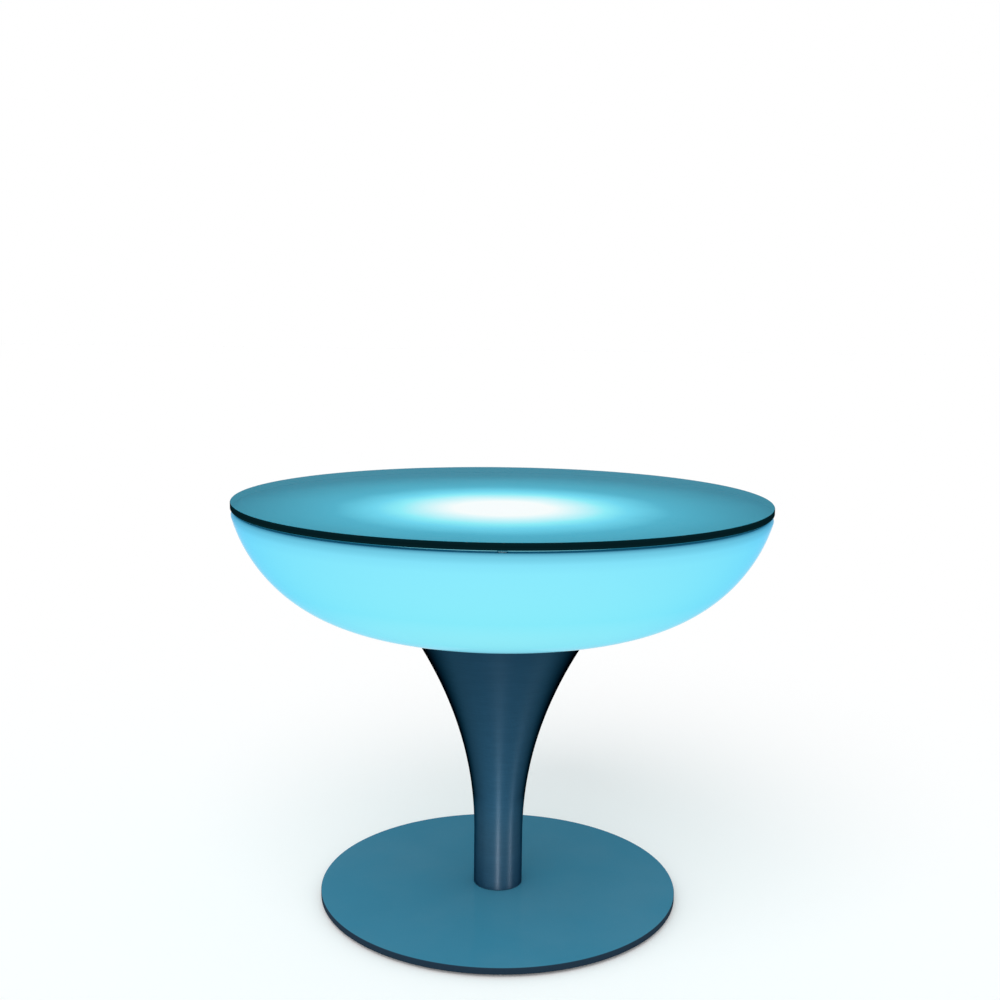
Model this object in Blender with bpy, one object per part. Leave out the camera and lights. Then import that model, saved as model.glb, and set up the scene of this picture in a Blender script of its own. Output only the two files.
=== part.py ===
"""A round light-up table, built as its maker would: a coated steel base plate, a spun steel trumpet column,
a translucent bowl with a rechargeable light in it, and a glass top that lifts off.

Metres, +Z up. The table stands on z = 0 with its axis through the origin. The light's button, charging
socket and control board are on its +X side.
"""

import math

import bmesh
import bpy
from mathutils import Vector

# Fits, shared by every piece
CONTACT_GAP = 0.0003
THREAD_GAP = 0.0003
HOLE_CLEARANCE = 0.0005
OVERRUN = 0.002
SMOOTH_UP_TO = math.radians(35)

# Pieces on which the exact Boolean leaves an open seam
MANIFOLD_PIECES = {"module_cover"}

# Glass top
GLASS_RADIUS = 0.300
GLASS_THICKNESS = 0.008
GLASS_CHAMFER = 0.0008

# Clear bumpers under the glass
BUMPER_COUNT = 6
BUMPER_RADIUS = 0.005
BUMPER_THICKNESS = 0.002
BUMPER_EDGE = 0.0004

# Bowl: a wide side arc runs into a shallow domed floor, which is flat where the column carries it.
# Before its edge is rounded, the side arc would meet the rim's plane just past the edge of the glass.
RIM_PAST_GLASS = 0.0005
RIM_SLOPE = math.radians(76)
SIDE_CURVE = 0.170
FLOOR_CURVE = 0.900
SEAT_RADIUS = 0.110
BOWL_WALL = 0.005
LIP_WIDTH = 0.016
LIP_THICKNESS = 0.005
RIM_ROUNDING = 0.004

# Column: a straight stem that flares like a trumpet
COLUMN_HEIGHT = 0.308
STEM_RADIUS = 0.028
STEM_LENGTH = 0.059
MOUTH_RADIUS = 0.1065
FLARE_POWER = 2.09
COLUMN_WALL = 0.0015

# Disc welded in the column's mouth, with a welded nut under each bolt
FLANGE_THICKNESS = 0.004
NUT_ACROSS = 0.013
NUT_HEIGHT = 0.0065

# Bolts that clamp the bowl's floor between the flange and the clamp plate
BOLT_COUNT = 4
BOLT_CIRCLE = 0.085
BOLT_RADIUS = 0.004
BOLT_LENGTH = 0.025
BOLT_HEAD_ACROSS = 0.013
BOLT_HEAD_HEIGHT = 0.0053
BOLT_COLLAR_RADIUS = 0.0085
BOLT_COLLAR_HEIGHT = 0.0014
CLAMP_RADIUS = 0.098
CLAMP_THICKNESS = 0.003

# Disc welded in the column's foot, and the countersunk screws that hold the base plate to it
PLUG_THICKNESS = 0.012
FOOT_SCREW_COUNT = 3
FOOT_SCREW_CIRCLE = 0.0165
FOOT_SCREW_RADIUS = 0.004
FOOT_SCREW_LENGTH = 0.016
FOOT_HEAD_RADIUS = 0.0078
FOOT_HEAD_HEIGHT = 0.0042
FOOT_SOCKET_ACROSS = 0.005
FOOT_SOCKET_DEPTH = 0.0025

# Base plate and its rubber pads
BASE_RADIUS = 0.205
BASE_THICKNESS = 0.008
BASE_CHAMFER = 0.0008
PAD_COUNT = 4
PAD_RADIUS = 0.015
PAD_THICKNESS = 0.0027
PAD_EDGE = 0.0006
PAD_INSET = 0.014

# Light: the round tray that carries it, with screw lugs, cover bosses and board posts.
# The tray is as wide as the battery and the control board beside it need.
TRAY_HEIGHT = 0.026
TRAY_WALL = 0.0022
TRAY_FLOOR = 0.0025
LUG_COUNT = 3
LUG_LENGTH = 0.009
LUG_WIDTH = 0.012
LUG_THICKNESS = 0.003
LUG_SCREW_OUT = 0.005
BOSS_INSET = 0.0058
BOSS_RADIUS = 0.0035
POST_COUNT = 3
POST_INSET = 0.003
POST_RADIUS = 0.0025
RIB_HEIGHT = 0.002
RIB_WIDTH = 0.003

# Screws of the light
LUG_SCREW_RADIUS = 0.002
LUG_SCREW_LENGTH = 0.006
LUG_SCREW_HEAD_RADIUS = 0.0038
LUG_SCREW_HEAD_HEIGHT = 0.0022
COVER_SCREW_RADIUS = 0.0013
COVER_SCREW_LENGTH = 0.012
COVER_SCREW_HEAD_RADIUS = 0.0026
COVER_SCREW_HEAD_HEIGHT = 0.0018
SOCKET_SHARE = 0.45
BOSS_BORE_DEPTH = 0.013

# Cover, its seal, and the domed diffuser that it clamps over the LED board
SEAL_WIDTH = 0.0014
SEAL_THICKNESS = 0.001
COVER_THICKNESS = 0.003
COVER_CHAMFER = 0.0006
DOME_HEIGHT = 0.016
DOME_WALL = 0.0018
DOME_FLANGE_INSET = 0.0158
DOME_FLANGE_WIDTH = 0.0063
DOME_FLANGE_THICKNESS = 0.0015
LED_BOARD_THICKNESS = 0.0016
LED_COUNT = 8
LED_INSET = 0.018
LED_SIDE = 0.005
LED_HEIGHT = 0.0014
LED_LENS_RADIUS = 0.0019
LED_LENS_HEIGHT = 0.0003

# Battery cells and their holder
CELL_COUNT = 3
CELL_RADIUS = 0.0092
CELL_LENGTH = 0.065
CELL_SPACING = 0.0005
CELL_EDGE = 0.0008
CELL_NUB_RADIUS = 0.003
CELL_NUB_HEIGHT = 0.0012
HOLDER_WALL = 0.0015
HOLDER_HEIGHT = 0.012
HOLDER_END_ROOM = 0.0008

# Control board and what stands on it
BOARD_CLEARANCE = 0.0041
BOARD_LENGTH = 0.024
BOARD_INSET = 0.0058
BOARD_WIDTH = 0.040
BOARD_THICKNESS = 0.0016
CHIP_LENGTH = 0.007
CHIP_WIDTH = 0.005
CHIP_HEIGHT = 0.0016
CHIP_ALONG = 0.007
CHIP_Y = 0.007
CONTROL_INSET = 0.0078
CONTROL_ANGLE = math.radians(17)
SWITCH_SIDE = 0.006
SWITCH_HEIGHT = 0.0035
SWITCH_TIP_RADIUS = 0.0015
SWITCH_TIP_HEIGHT = 0.0013
SOCKET_SIDE = 0.009
SOCKET_BODY_LENGTH = 0.0145
SOCKET_COLLAR_RADIUS = 0.0045
SOCKET_BORE_RADIUS = 0.0032
SOCKET_BORE_DEPTH = 0.009
SOCKET_PIN_RADIUS = 0.001
SOCKET_PIN_RECESS = 0.002

# Power button, pushed down through the cover against its spring
BUTTON_RADIUS = 0.0042
BUTTON_PROUD = 0.0018
BUTTON_TRAVEL = 0.0012
BUTTON_EDGE = 0.0006
BUTTON_COLLAR_RADIUS = 0.0054
BUTTON_COLLAR_THICKNESS = 0.0014
STEM_OF_BUTTON_RADIUS = 0.0014
SPRING_RADIUS = 0.0026
SPRING_WIRE_RADIUS = 0.0003
SPRING_TURNS = 5

# Remote-control eye and charging light
EYE_LEAD_SIDE = 0.0024
EYE_BODY_SIDE = 0.006
EYE_BODY_HEIGHT = 0.007
EYE_BODY_DROP = 0.002
EYE_LENS_RADIUS = 0.0024
EYE_LENS_PROUD = 0.0008
PIPE_RADIUS = 0.0012
PIPE_COLLAR_RADIUS = 0.002
PIPE_COLLAR_THICKNESS = 0.001
PIPE_PROUD = 0.0004
PIPE_ANGLE = math.radians(7.5)

# Rubber cap over the charging socket, and the anchor that its strap folds from
CAP_RADIUS = 0.006
CAP_THICKNESS = 0.0018
CAP_NUB_RADIUS = 0.0025
CAP_NUB_LENGTH = 0.0012
CAP_HINGE_RISE = 0.0085
CAP_STRAP_WIDTH = 0.004
ANCHOR_HEIGHT = 0.003

# Leads
LEAD_RADIUS = 0.0008
LEAD_SPACING = 0.003
LEAD_RISE = 0.003
LEAD_REACH = 0.004
LEAD_Y = 0.012
LIGHT_LEAD_ALONG = 0.009
LIGHT_LEAD_Y = -0.014
LIGHT_LEAD_BOW = 0.002

# Facets of the round pieces
WIDE_SIDES = 96
BOWL_SIDES = 60
COLUMN_SIDES = 40
LIGHT_SIDES = 40
SMALL_SIDES = 12
SIDE_ARC_STEPS = 8
FLOOR_ARC_STEPS = 2
CORNER_STEPS = 3
FLARE_STEPS = 9
DOME_STEPS = 4
SPRING_POINTS_PER_TURN = 8
LEAD_POINTS = 9

# Widths, worked out from the edge of the glass and from the battery outwards
rim_radius = GLASS_RADIUS + RIM_PAST_GLASS
holder_inner_x = CELL_COUNT * CELL_RADIUS + (CELL_COUNT - 1) * CELL_SPACING / 2 + CONTACT_GAP
holder_inner_y = CELL_LENGTH / 2 + HOLDER_END_ROOM
holder_outer_x = holder_inner_x + HOLDER_WALL
holder_outer_y = holder_inner_y + HOLDER_WALL
board_near_x = holder_outer_x + BOARD_CLEARANCE
board_far_x = board_near_x + BOARD_LENGTH
tray_inner_radius = board_far_x + BOARD_INSET
tray_radius = tray_inner_radius + TRAY_WALL
boss_circle = tray_inner_radius - BOSS_INSET
control_circle = tray_inner_radius - CONTROL_INSET
led_board_radius = tray_inner_radius - DOME_FLANGE_INSET
dome_radius = led_board_radius - DOME_FLANGE_WIDTH
post_circle = led_board_radius - POST_INSET
led_circle = led_board_radius - LED_INSET

# Heights, stacked up from the floor
base_bottom = PAD_THICKNESS + CONTACT_GAP
base_top = base_bottom + BASE_THICKNESS
column_bottom = base_top + CONTACT_GAP
column_top = column_bottom + COLUMN_HEIGHT
seat_height = column_top + CONTACT_GAP
floor_height = seat_height + BOWL_WALL
clamp_bottom = floor_height + CONTACT_GAP
clamp_top = clamp_bottom + CLAMP_THICKNESS

tray_bottom = clamp_top + CONTACT_GAP
tray_inside = tray_bottom + TRAY_FLOOR
tray_top = tray_bottom + TRAY_HEIGHT
seal_bottom = tray_top + CONTACT_GAP
cover_bottom = seal_bottom + SEAL_THICKNESS + CONTACT_GAP
cover_top = cover_bottom + COVER_THICKNESS
dome_flange_bottom = cover_bottom - CONTACT_GAP - DOME_FLANGE_THICKNESS
led_board_top = dome_flange_bottom - CONTACT_GAP
led_board_bottom = led_board_top - LED_BOARD_THICKNESS
post_top = led_board_bottom - CONTACT_GAP
boss_top = cover_bottom - CONTACT_GAP
board_bottom = tray_inside + RIB_HEIGHT + CONTACT_GAP
board_top = board_bottom + BOARD_THICKNESS
on_board = board_top + CONTACT_GAP
socket_height = on_board + SOCKET_SIDE / 2
holder_bottom = tray_inside + CONTACT_GAP
holder_inside = holder_bottom + HOLDER_WALL
holder_top = holder_bottom + HOLDER_HEIGHT


def angles(count, first=0.0):
    """Angles that share a full turn evenly."""
    return [first + math.tau * index / count for index in range(count)]


def around(radius, angle, height):
    """The point at this radius and angle about the table's axis."""
    return (radius * math.cos(angle), radius * math.sin(angle), height)


def new_material(name, colour, roughness, metallic=0.0):
    material = bpy.data.materials.new(name)
    material.use_nodes = True
    shader = material.node_tree.nodes["Principled BSDF"]
    shader.inputs["Base Color"].default_value = (*colour, 1.0)
    shader.inputs["Roughness"].default_value = roughness
    shader.inputs["Metallic"].default_value = metallic
    material.diffuse_color = (*colour, 1.0)
    return material


def clear_scene():
    for thing in list(bpy.data.objects):
        bpy.data.objects.remove(thing, do_unlink=True)


clear_scene()

glass = new_material("glass", (0.09, 0.32, 0.40), 0.05)
silicone = new_material("silicone", (0.75, 0.82, 0.84), 0.35)
lit_plastic = new_material("lit_plastic", (0.20, 0.79, 1.0), 0.45)
spun_steel = new_material("spun_steel", (0.10, 0.19, 0.27), 0.35, 1.0)
plain_steel = new_material("plain_steel", (0.42, 0.43, 0.44), 0.4, 1.0)
zinc = new_material("zinc", (0.60, 0.61, 0.62), 0.3, 1.0)
base_coating = new_material("base_coating", (0.035, 0.20, 0.31), 0.12)
rubber = new_material("rubber", (0.02, 0.02, 0.022), 0.8)
white_plastic = new_material("white_plastic", (0.78, 0.80, 0.80), 0.4)
opal = new_material("opal", (0.85, 0.93, 0.95), 0.3)
board_green = new_material("board_green", (0.02, 0.16, 0.07), 0.35)
board_white = new_material("board_white", (0.80, 0.81, 0.80), 0.4)
emitter = new_material("emitter", (0.90, 0.88, 0.70), 0.3)
cell_wrap = new_material("cell_wrap", (0.05, 0.20, 0.45), 0.35)
black_plastic = new_material("black_plastic", (0.018, 0.018, 0.02), 0.4)
button_grey = new_material("button_grey", (0.30, 0.32, 0.33), 0.45)
red_lead = new_material("red_lead", (0.55, 0.02, 0.02), 0.45)
black_lead = new_material("black_lead", (0.015, 0.015, 0.015), 0.45)
white_lead = new_material("white_lead", (0.75, 0.75, 0.73), 0.45)
dark_lens = new_material("dark_lens", (0.08, 0.01, 0.015), 0.1)
clear_plastic = new_material("clear_plastic", (0.80, 0.88, 0.88), 0.1)


# Helpers that make meshes


def new_object(name, mesh, material, at=(0, 0, 0)):
    mesh.materials.clear()
    mesh.materials.append(material)
    piece = bpy.data.objects.new(name, mesh)
    piece.location = at
    bpy.context.collection.objects.link(piece)
    return piece


def smooth(mesh):
    mesh.shade_smooth()
    mesh.set_sharp_from_angle(angle=SMOOTH_UP_TO)


def finished_mesh(name, bm):
    bmesh.ops.recalc_face_normals(bm, faces=bm.faces)
    mesh = bpy.data.meshes.new(name)
    bm.to_mesh(mesh)
    bm.free()
    smooth(mesh)
    return mesh


def flatted(across, height, flats):
    """An outline point whose ring is a polygon, such as a hexagon, instead of a circle."""
    return (across / 2, height, flats)


def ring_radius(point, angle):
    if len(point) < 3:
        return point[0]
    flat_angle = math.tau / point[2]
    return point[0] / math.cos(angle % flat_angle - flat_angle / 2)


def turned_mesh(name, outline, sides):
    """A closed outline of (radius, height) points turned about Z. A point on the axis closes a flat end with
    one face, or becomes the tip of a cone."""
    bm = bmesh.new()
    rings = []
    for point in outline:
        if point[0] == 0:
            rings.append([])
            continue
        places = [around(ring_radius(point, angle), angle, point[1]) for angle in angles(sides)]
        rings.append([bm.verts.new(place) for place in places])
    for index, point in enumerate(outline):
        ring, following = rings[index], rings[(index + 1) % len(rings)]
        if not ring and not following:
            continue
        end_point = outline[(index + 1) % len(outline)]
        if ring and following:
            for ring_index in range(sides):
                after = (ring_index + 1) % sides
                bm.faces.new((ring[ring_index], ring[after], following[after], following[ring_index]))
        elif point[1] == end_point[1]:
            bm.faces.new(ring or following)
        else:
            tip = bm.verts.new((0, 0, end_point[1] if ring else point[1]))
            wide = ring or following
            for ring_index in range(sides):
                bm.faces.new((wide[ring_index], wide[(ring_index + 1) % sides], tip))
    return finished_mesh(name, bm)


def turned(name, outline, sides, material, at=(0, 0, 0)):
    return new_object(name, turned_mesh(name, outline, sides), material, at)


def block_mesh(name, size):
    bm = bmesh.new()
    bmesh.ops.create_cube(bm, size=1.0)
    bmesh.ops.scale(bm, vec=size, verts=bm.verts)
    return finished_mesh(name, bm)


def block(name, low, high, material):
    """A box between two opposite corners."""
    size = [top - bottom for bottom, top in zip(low, high)]
    middle = [(top + bottom) / 2 for bottom, top in zip(low, high)]
    return new_object(name, block_mesh(name, size), material, middle)


def helper(piece):
    """Marks a shape that only cuts or joins another one."""
    piece.hide_render = True
    piece.display_type = "WIRE"
    return piece


def combine(piece, operation, others):
    for other in others:
        modifier = piece.modifiers.new(other.name, "BOOLEAN")
        modifier.operation = operation
        modifier.solver = "MANIFOLD" if piece.name in MANIFOLD_PIECES else "EXACT"
        modifier.object = helper(other)


def cut(piece, *cutters):
    combine(piece, "DIFFERENCE", cutters)


def join(piece, *additions):
    combine(piece, "UNION", additions)


def rod_outline(radius, bottom, top):
    return [(0, bottom), (radius, bottom), (radius, top), (0, top)]


def rod(name, radius, bottom, top, spot, sides=SMALL_SIDES, material=plain_steel):
    """An upright round bar at the (x, y) of spot."""
    return turned(name, rod_outline(radius, bottom, top), sides, material, (spot[0], spot[1], 0))


def drill(piece, radius, bottom, top, spot):
    """Cuts an upright round hole between two heights."""
    cut(piece, rod(f"{piece.name}_drill_{len(piece.modifiers)}", radius, bottom, top, spot))


def arc(centre, radius, first_slope, last_slope, steps):
    """Points on an arc, by the slope of its tangent: 0 is flat, a quarter turn is upright."""
    points = []
    for step in range(steps + 1):
        slope = first_slope + (last_slope - first_slope) * step / steps
        points.append((centre[0] + radius * math.sin(slope), centre[1] - radius * math.cos(slope)))
    return points


def disc_outline(radius, bottom, top, edge):
    """A disc whose two rims are chamfered."""
    return [
        (0, bottom),
        (radius - edge, bottom),
        (radius, bottom + edge),
        (radius, top - edge),
        (radius - edge, top),
        (0, top),
    ]


# Base plate, its pads, and the foot screws


def make_pads():
    spot_radius = BASE_RADIUS - PAD_INSET - PAD_RADIUS
    outline = disc_outline(PAD_RADIUS, 0, PAD_THICKNESS, PAD_EDGE)
    mesh = turned_mesh("base_pad", outline, 2 * SMALL_SIDES)
    for index, angle in enumerate(angles(PAD_COUNT, math.tau / PAD_COUNT / 2), 1):
        new_object(f"base_pad_{index}", mesh, rubber, around(spot_radius, angle, 0))


def foot_spots():
    return [around(FOOT_SCREW_CIRCLE, angle, 0) for angle in angles(FOOT_SCREW_COUNT, math.tau / 4)]


def make_base_plate():
    disc = disc_outline(BASE_RADIUS, base_bottom, base_top, BASE_CHAMFER)
    plate = turned("base_plate", disc, WIDE_SIDES, base_coating)
    hole = FOOT_SCREW_RADIUS + HOLE_CLEARANCE
    mouth = FOOT_HEAD_RADIUS + HOLE_CLEARANCE
    sunk = base_bottom + CONTACT_GAP + FOOT_HEAD_HEIGHT
    outline = [
        (0, base_bottom - OVERRUN),
        (mouth, base_bottom - OVERRUN),
        (mouth, base_bottom + CONTACT_GAP),
        (hole, sunk),
        (hole, base_top + OVERRUN),
        (0, base_top + OVERRUN),
    ]
    for index, spot in enumerate(foot_spots(), 1):
        cut(plate, turned(f"base_plate_drill_{index}", outline, SMALL_SIDES, plain_steel, spot))


def make_foot_screws():
    outline = [
        (0, FOOT_SOCKET_DEPTH),
        flatted(FOOT_SOCKET_ACROSS, FOOT_SOCKET_DEPTH, 6),
        flatted(FOOT_SOCKET_ACROSS, 0, 6),
        (FOOT_HEAD_RADIUS, 0),
        (FOOT_SCREW_RADIUS, FOOT_HEAD_HEIGHT),
        (FOOT_SCREW_RADIUS, FOOT_SCREW_LENGTH),
        (0, FOOT_SCREW_LENGTH),
    ]
    mesh = turned_mesh("foot_screw", outline, SMALL_SIDES)
    for index, spot in enumerate(foot_spots(), 1):
        new_object(f"foot_screw_{index}", mesh, zinc, (spot[0], spot[1], base_bottom + CONTACT_GAP))


# Column with its welded discs


def flare(height):
    """The column's outer radius at this height above its foot, and how fast it widens there."""
    length = COLUMN_HEIGHT - STEM_LENGTH
    share = max(0.0, (height - STEM_LENGTH) / length)
    widening = (MOUTH_RADIUS - STEM_RADIUS) * share**FLARE_POWER
    slope = FLARE_POWER * (MOUTH_RADIUS - STEM_RADIUS) / length * share ** (FLARE_POWER - 1)
    return STEM_RADIUS + widening, slope


def column_inner_radius(height):
    radius, slope = flare(height)
    return radius - COLUMN_WALL * math.hypot(1, slope)


def flare_heights():
    length = COLUMN_HEIGHT - STEM_LENGTH
    return [0] + [STEM_LENGTH + length * step / FLARE_STEPS for step in range(FLARE_STEPS + 1)]


def make_column():
    outer = [(flare(height)[0], height) for height in flare_heights()]
    inner = [(column_inner_radius(height), height) for height in flare_heights()]
    turned("column_shell", outer + inner[::-1], COLUMN_SIDES, spun_steel, (0, 0, column_bottom))


def make_foot_plug():
    radius = column_inner_radius(0) - CONTACT_GAP
    top = column_bottom + PLUG_THICKNESS
    plug = turned("column_foot_plug", rod_outline(radius, column_bottom, top), COLUMN_SIDES, plain_steel)
    for spot in foot_spots():
        drill(plug, FOOT_SCREW_RADIUS + THREAD_GAP, column_bottom - OVERRUN, top + OVERRUN, spot)


def bolt_spots():
    return [around(BOLT_CIRCLE, angle, 0) for angle in angles(BOLT_COUNT, math.tau / BOLT_COUNT / 2)]


def make_flange():
    bottom = column_top - FLANGE_THICKNESS
    radius = column_inner_radius(bottom - column_bottom) - CONTACT_GAP
    flange = turned("column_flange", rod_outline(radius, bottom, column_top), COLUMN_SIDES, plain_steel)
    nut_bottom = bottom - NUT_HEIGHT
    middle = (bottom + column_top) / 2
    outline = [
        (0, nut_bottom),
        flatted(NUT_ACROSS, nut_bottom, 6),
        flatted(NUT_ACROSS, middle, 6),
        (0, middle),
    ]
    for index, spot in enumerate(bolt_spots(), 1):
        join(flange, turned(f"flange_nut_{index}", outline, SMALL_SIDES, plain_steel, spot))
    for spot in bolt_spots():
        drill(flange, BOLT_RADIUS + THREAD_GAP, nut_bottom - OVERRUN, column_top + OVERRUN, spot)


# Bowl, clamp plate and bolts


def bowl_curves():
    """The centre of the side arc, the slope where it meets the floor's arc, and the centre of that arc.
    Both centres are measured from the rim."""
    side_centre = (rim_radius - SIDE_CURVE * math.sin(RIM_SLOPE), SIDE_CURVE * math.cos(RIM_SLOPE))
    joint_slope = math.asin(side_centre[0] / (FLOOR_CURVE - SIDE_CURVE))
    floor_centre = (0, side_centre[1] + (FLOOR_CURVE - SIDE_CURVE) * math.cos(joint_slope))
    return side_centre, joint_slope, floor_centre


def seat_below_rim():
    """How far the flat seat lies below the rim."""
    floor_centre = bowl_curves()[2]
    return math.sqrt(FLOOR_CURVE**2 - SEAT_RADIUS**2) - floor_centre[1]


rim_height = seat_height + seat_below_rim()
bumper_bottom = rim_height + CONTACT_GAP
glass_bottom = bumper_bottom + BUMPER_THICKNESS + CONTACT_GAP


def rim_rounding():
    """The slope where the side arc ends and the rounded top edge begins, and the centre of that rounding.
    The rounding touches both the side arc and the flat lip."""
    side_centre = bowl_curves()[0]
    reach = SIDE_CURVE - RIM_ROUNDING
    slope = math.acos((side_centre[1] + RIM_ROUNDING) / reach)
    return slope, (side_centre[0] + reach * math.sin(slope), rim_height - RIM_ROUNDING)


def bowl_outline():
    side_centre, joint_slope, floor_centre = bowl_curves()
    side = (side_centre[0], rim_height + side_centre[1])
    floor = (0, rim_height + floor_centre[1])
    rounding_slope, rounding = rim_rounding()
    outer = arc(floor, FLOOR_CURVE, math.asin(SEAT_RADIUS / FLOOR_CURVE), joint_slope, FLOOR_ARC_STEPS)
    outer += arc(side, SIDE_CURVE, joint_slope, rounding_slope, SIDE_ARC_STEPS)[1:]
    outer += arc(rounding, RIM_ROUNDING, rounding_slope, math.pi, CORNER_STEPS)[1:]

    lip_radius = rim_radius - LIP_WIDTH
    lip_bottom = rim_height - LIP_THICKNESS
    inner_side = SIDE_CURVE - BOWL_WALL
    inner_floor = FLOOR_CURVE - BOWL_WALL
    under_lip = math.acos((side[1] - lip_bottom) / inner_side)
    floor_drop = math.sqrt(FLOOR_CURVE**2 - SEAT_RADIUS**2) - BOWL_WALL
    inner = arc(side, inner_side, under_lip, joint_slope, SIDE_ARC_STEPS)
    inner += arc(floor, inner_floor, joint_slope, math.acos(floor_drop / inner_floor), FLOOR_ARC_STEPS)[1:]

    lip = [(lip_radius, rim_height), (lip_radius, lip_bottom)]
    return [(0, seat_height)] + outer + lip + inner + [(0, floor_height)]


def make_bowl():
    bowl = turned("bowl_shell", bowl_outline(), BOWL_SIDES, lit_plastic)
    for spot in bolt_spots():
        drill(bowl, BOLT_RADIUS + HOLE_CLEARANCE, seat_height - OVERRUN, floor_height + OVERRUN, spot)


def lug_angles():
    return angles(LUG_COUNT, math.tau / 4)


def lug_screw_spots():
    return [around(tray_radius + LUG_SCREW_OUT, angle, 0) for angle in lug_angles()]


def make_clamp_plate():
    disc = rod_outline(CLAMP_RADIUS, clamp_bottom, clamp_top)
    plate = turned("clamp_plate", disc, COLUMN_SIDES, plain_steel)
    for spot in bolt_spots():
        drill(plate, BOLT_RADIUS + HOLE_CLEARANCE, clamp_bottom - OVERRUN, clamp_top + OVERRUN, spot)
    for spot in lug_screw_spots():
        drill(plate, LUG_SCREW_RADIUS + THREAD_GAP, clamp_bottom - OVERRUN, clamp_top + OVERRUN, spot)


def make_bolts():
    head_top = BOLT_COLLAR_HEIGHT + BOLT_HEAD_HEIGHT
    outline = [
        (0, -BOLT_LENGTH),
        (BOLT_RADIUS, -BOLT_LENGTH),
        (BOLT_RADIUS, 0),
        (BOLT_COLLAR_RADIUS, 0),
        (BOLT_COLLAR_RADIUS, BOLT_COLLAR_HEIGHT),
        flatted(BOLT_HEAD_ACROSS, BOLT_COLLAR_HEIGHT, 6),
        flatted(BOLT_HEAD_ACROSS, head_top, 6),
        (0, head_top),
    ]
    mesh = turned_mesh("bowl_bolt", outline, SMALL_SIDES)
    for index, spot in enumerate(bolt_spots(), 1):
        new_object(f"bowl_bolt_{index}", mesh, zinc, (spot[0], spot[1], clamp_top + CONTACT_GAP))


# Glass top on its bumpers


def make_bumpers():
    """They stand along the middle of the lip's flat."""
    flat_outer = rim_rounding()[1][0]
    spot_radius = (flat_outer + rim_radius - LIP_WIDTH) / 2
    outline = disc_outline(BUMPER_RADIUS, 0, BUMPER_THICKNESS, BUMPER_EDGE)
    mesh = turned_mesh("glass_bumper", outline, SMALL_SIDES)
    for index, angle in enumerate(angles(BUMPER_COUNT, math.tau / 4), 1):
        new_object(f"glass_bumper_{index}", mesh, silicone, around(spot_radius, angle, bumper_bottom))


def make_glass():
    outline = disc_outline(GLASS_RADIUS, 0, GLASS_THICKNESS, GLASS_CHAMFER)
    turned("glass_top", outline, WIDE_SIDES, glass, (0, 0, glass_bottom))


# The light's tray, cover and seal


def boss_spots():
    return [around(boss_circle, angle, 0) for angle in lug_angles()]


def control_spot(angle):
    return around(control_circle, angle, 0)


def make_tray():
    outline = [
        (0, tray_bottom),
        (tray_radius, tray_bottom),
        (tray_radius, tray_top),
        (tray_inner_radius, tray_top),
        (tray_inner_radius, tray_inside),
        (0, tray_inside),
    ]
    tray = turned("module_tray", outline, LIGHT_SIDES, white_plastic)
    in_floor = (tray_bottom + tray_inside) / 2
    for index, angle in enumerate(lug_angles(), 1):
        low = (tray_radius - TRAY_WALL / 2, -LUG_WIDTH / 2, tray_bottom)
        high = (tray_radius + LUG_LENGTH, LUG_WIDTH / 2, tray_bottom + LUG_THICKNESS)
        lug = block(f"tray_lug_{index}", low, high, white_plastic)
        middle = (low[0] + high[0]) / 2
        lug.location = around(middle, angle, tray_bottom + LUG_THICKNESS / 2)
        lug.rotation_euler.z = angle
        join(tray, lug)
    for index, spot in enumerate(boss_spots(), 1):
        join(tray, rod(f"tray_boss_{index}", BOSS_RADIUS, in_floor, boss_top, spot))
    for index, angle in enumerate(angles(POST_COUNT, math.pi), 1):
        spot = around(post_circle, angle, 0)
        join(tray, rod(f"tray_post_{index}", POST_RADIUS, in_floor, post_top, spot))
    for index, side in enumerate((-1, 1), 1):
        middle = side * (BOARD_WIDTH - RIB_WIDTH) / 2
        low = (board_near_x, middle - RIB_WIDTH / 2, in_floor)
        high = (board_far_x, middle + RIB_WIDTH / 2, tray_inside + RIB_HEIGHT)
        join(tray, block(f"tray_rib_{index}", low, high, white_plastic))
    for spot in lug_screw_spots():
        top = tray_bottom + LUG_THICKNESS + OVERRUN
        drill(tray, LUG_SCREW_RADIUS + HOLE_CLEARANCE, tray_bottom - OVERRUN, top, spot)
    for spot in boss_spots():
        drill(tray, COVER_SCREW_RADIUS + THREAD_GAP, boss_top - BOSS_BORE_DEPTH, boss_top + OVERRUN, spot)
    window_outline = rod_outline(SOCKET_COLLAR_RADIUS + HOLE_CLEARANCE, 0, TRAY_WALL + 2 * OVERRUN)
    window = turned("tray_window", window_outline, SMALL_SIDES, white_plastic)
    window.location = (tray_inner_radius - OVERRUN, 0, socket_height)
    window.rotation_euler.y = math.pi / 2
    cut(tray, window)


def make_seal():
    middle = tray_radius - TRAY_WALL / 2
    outline = [
        (middle - SEAL_WIDTH / 2, seal_bottom),
        (middle + SEAL_WIDTH / 2, seal_bottom),
        (middle + SEAL_WIDTH / 2, seal_bottom + SEAL_THICKNESS),
        (middle - SEAL_WIDTH / 2, seal_bottom + SEAL_THICKNESS),
    ]
    turned("module_seal", outline, LIGHT_SIDES, rubber)


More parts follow.
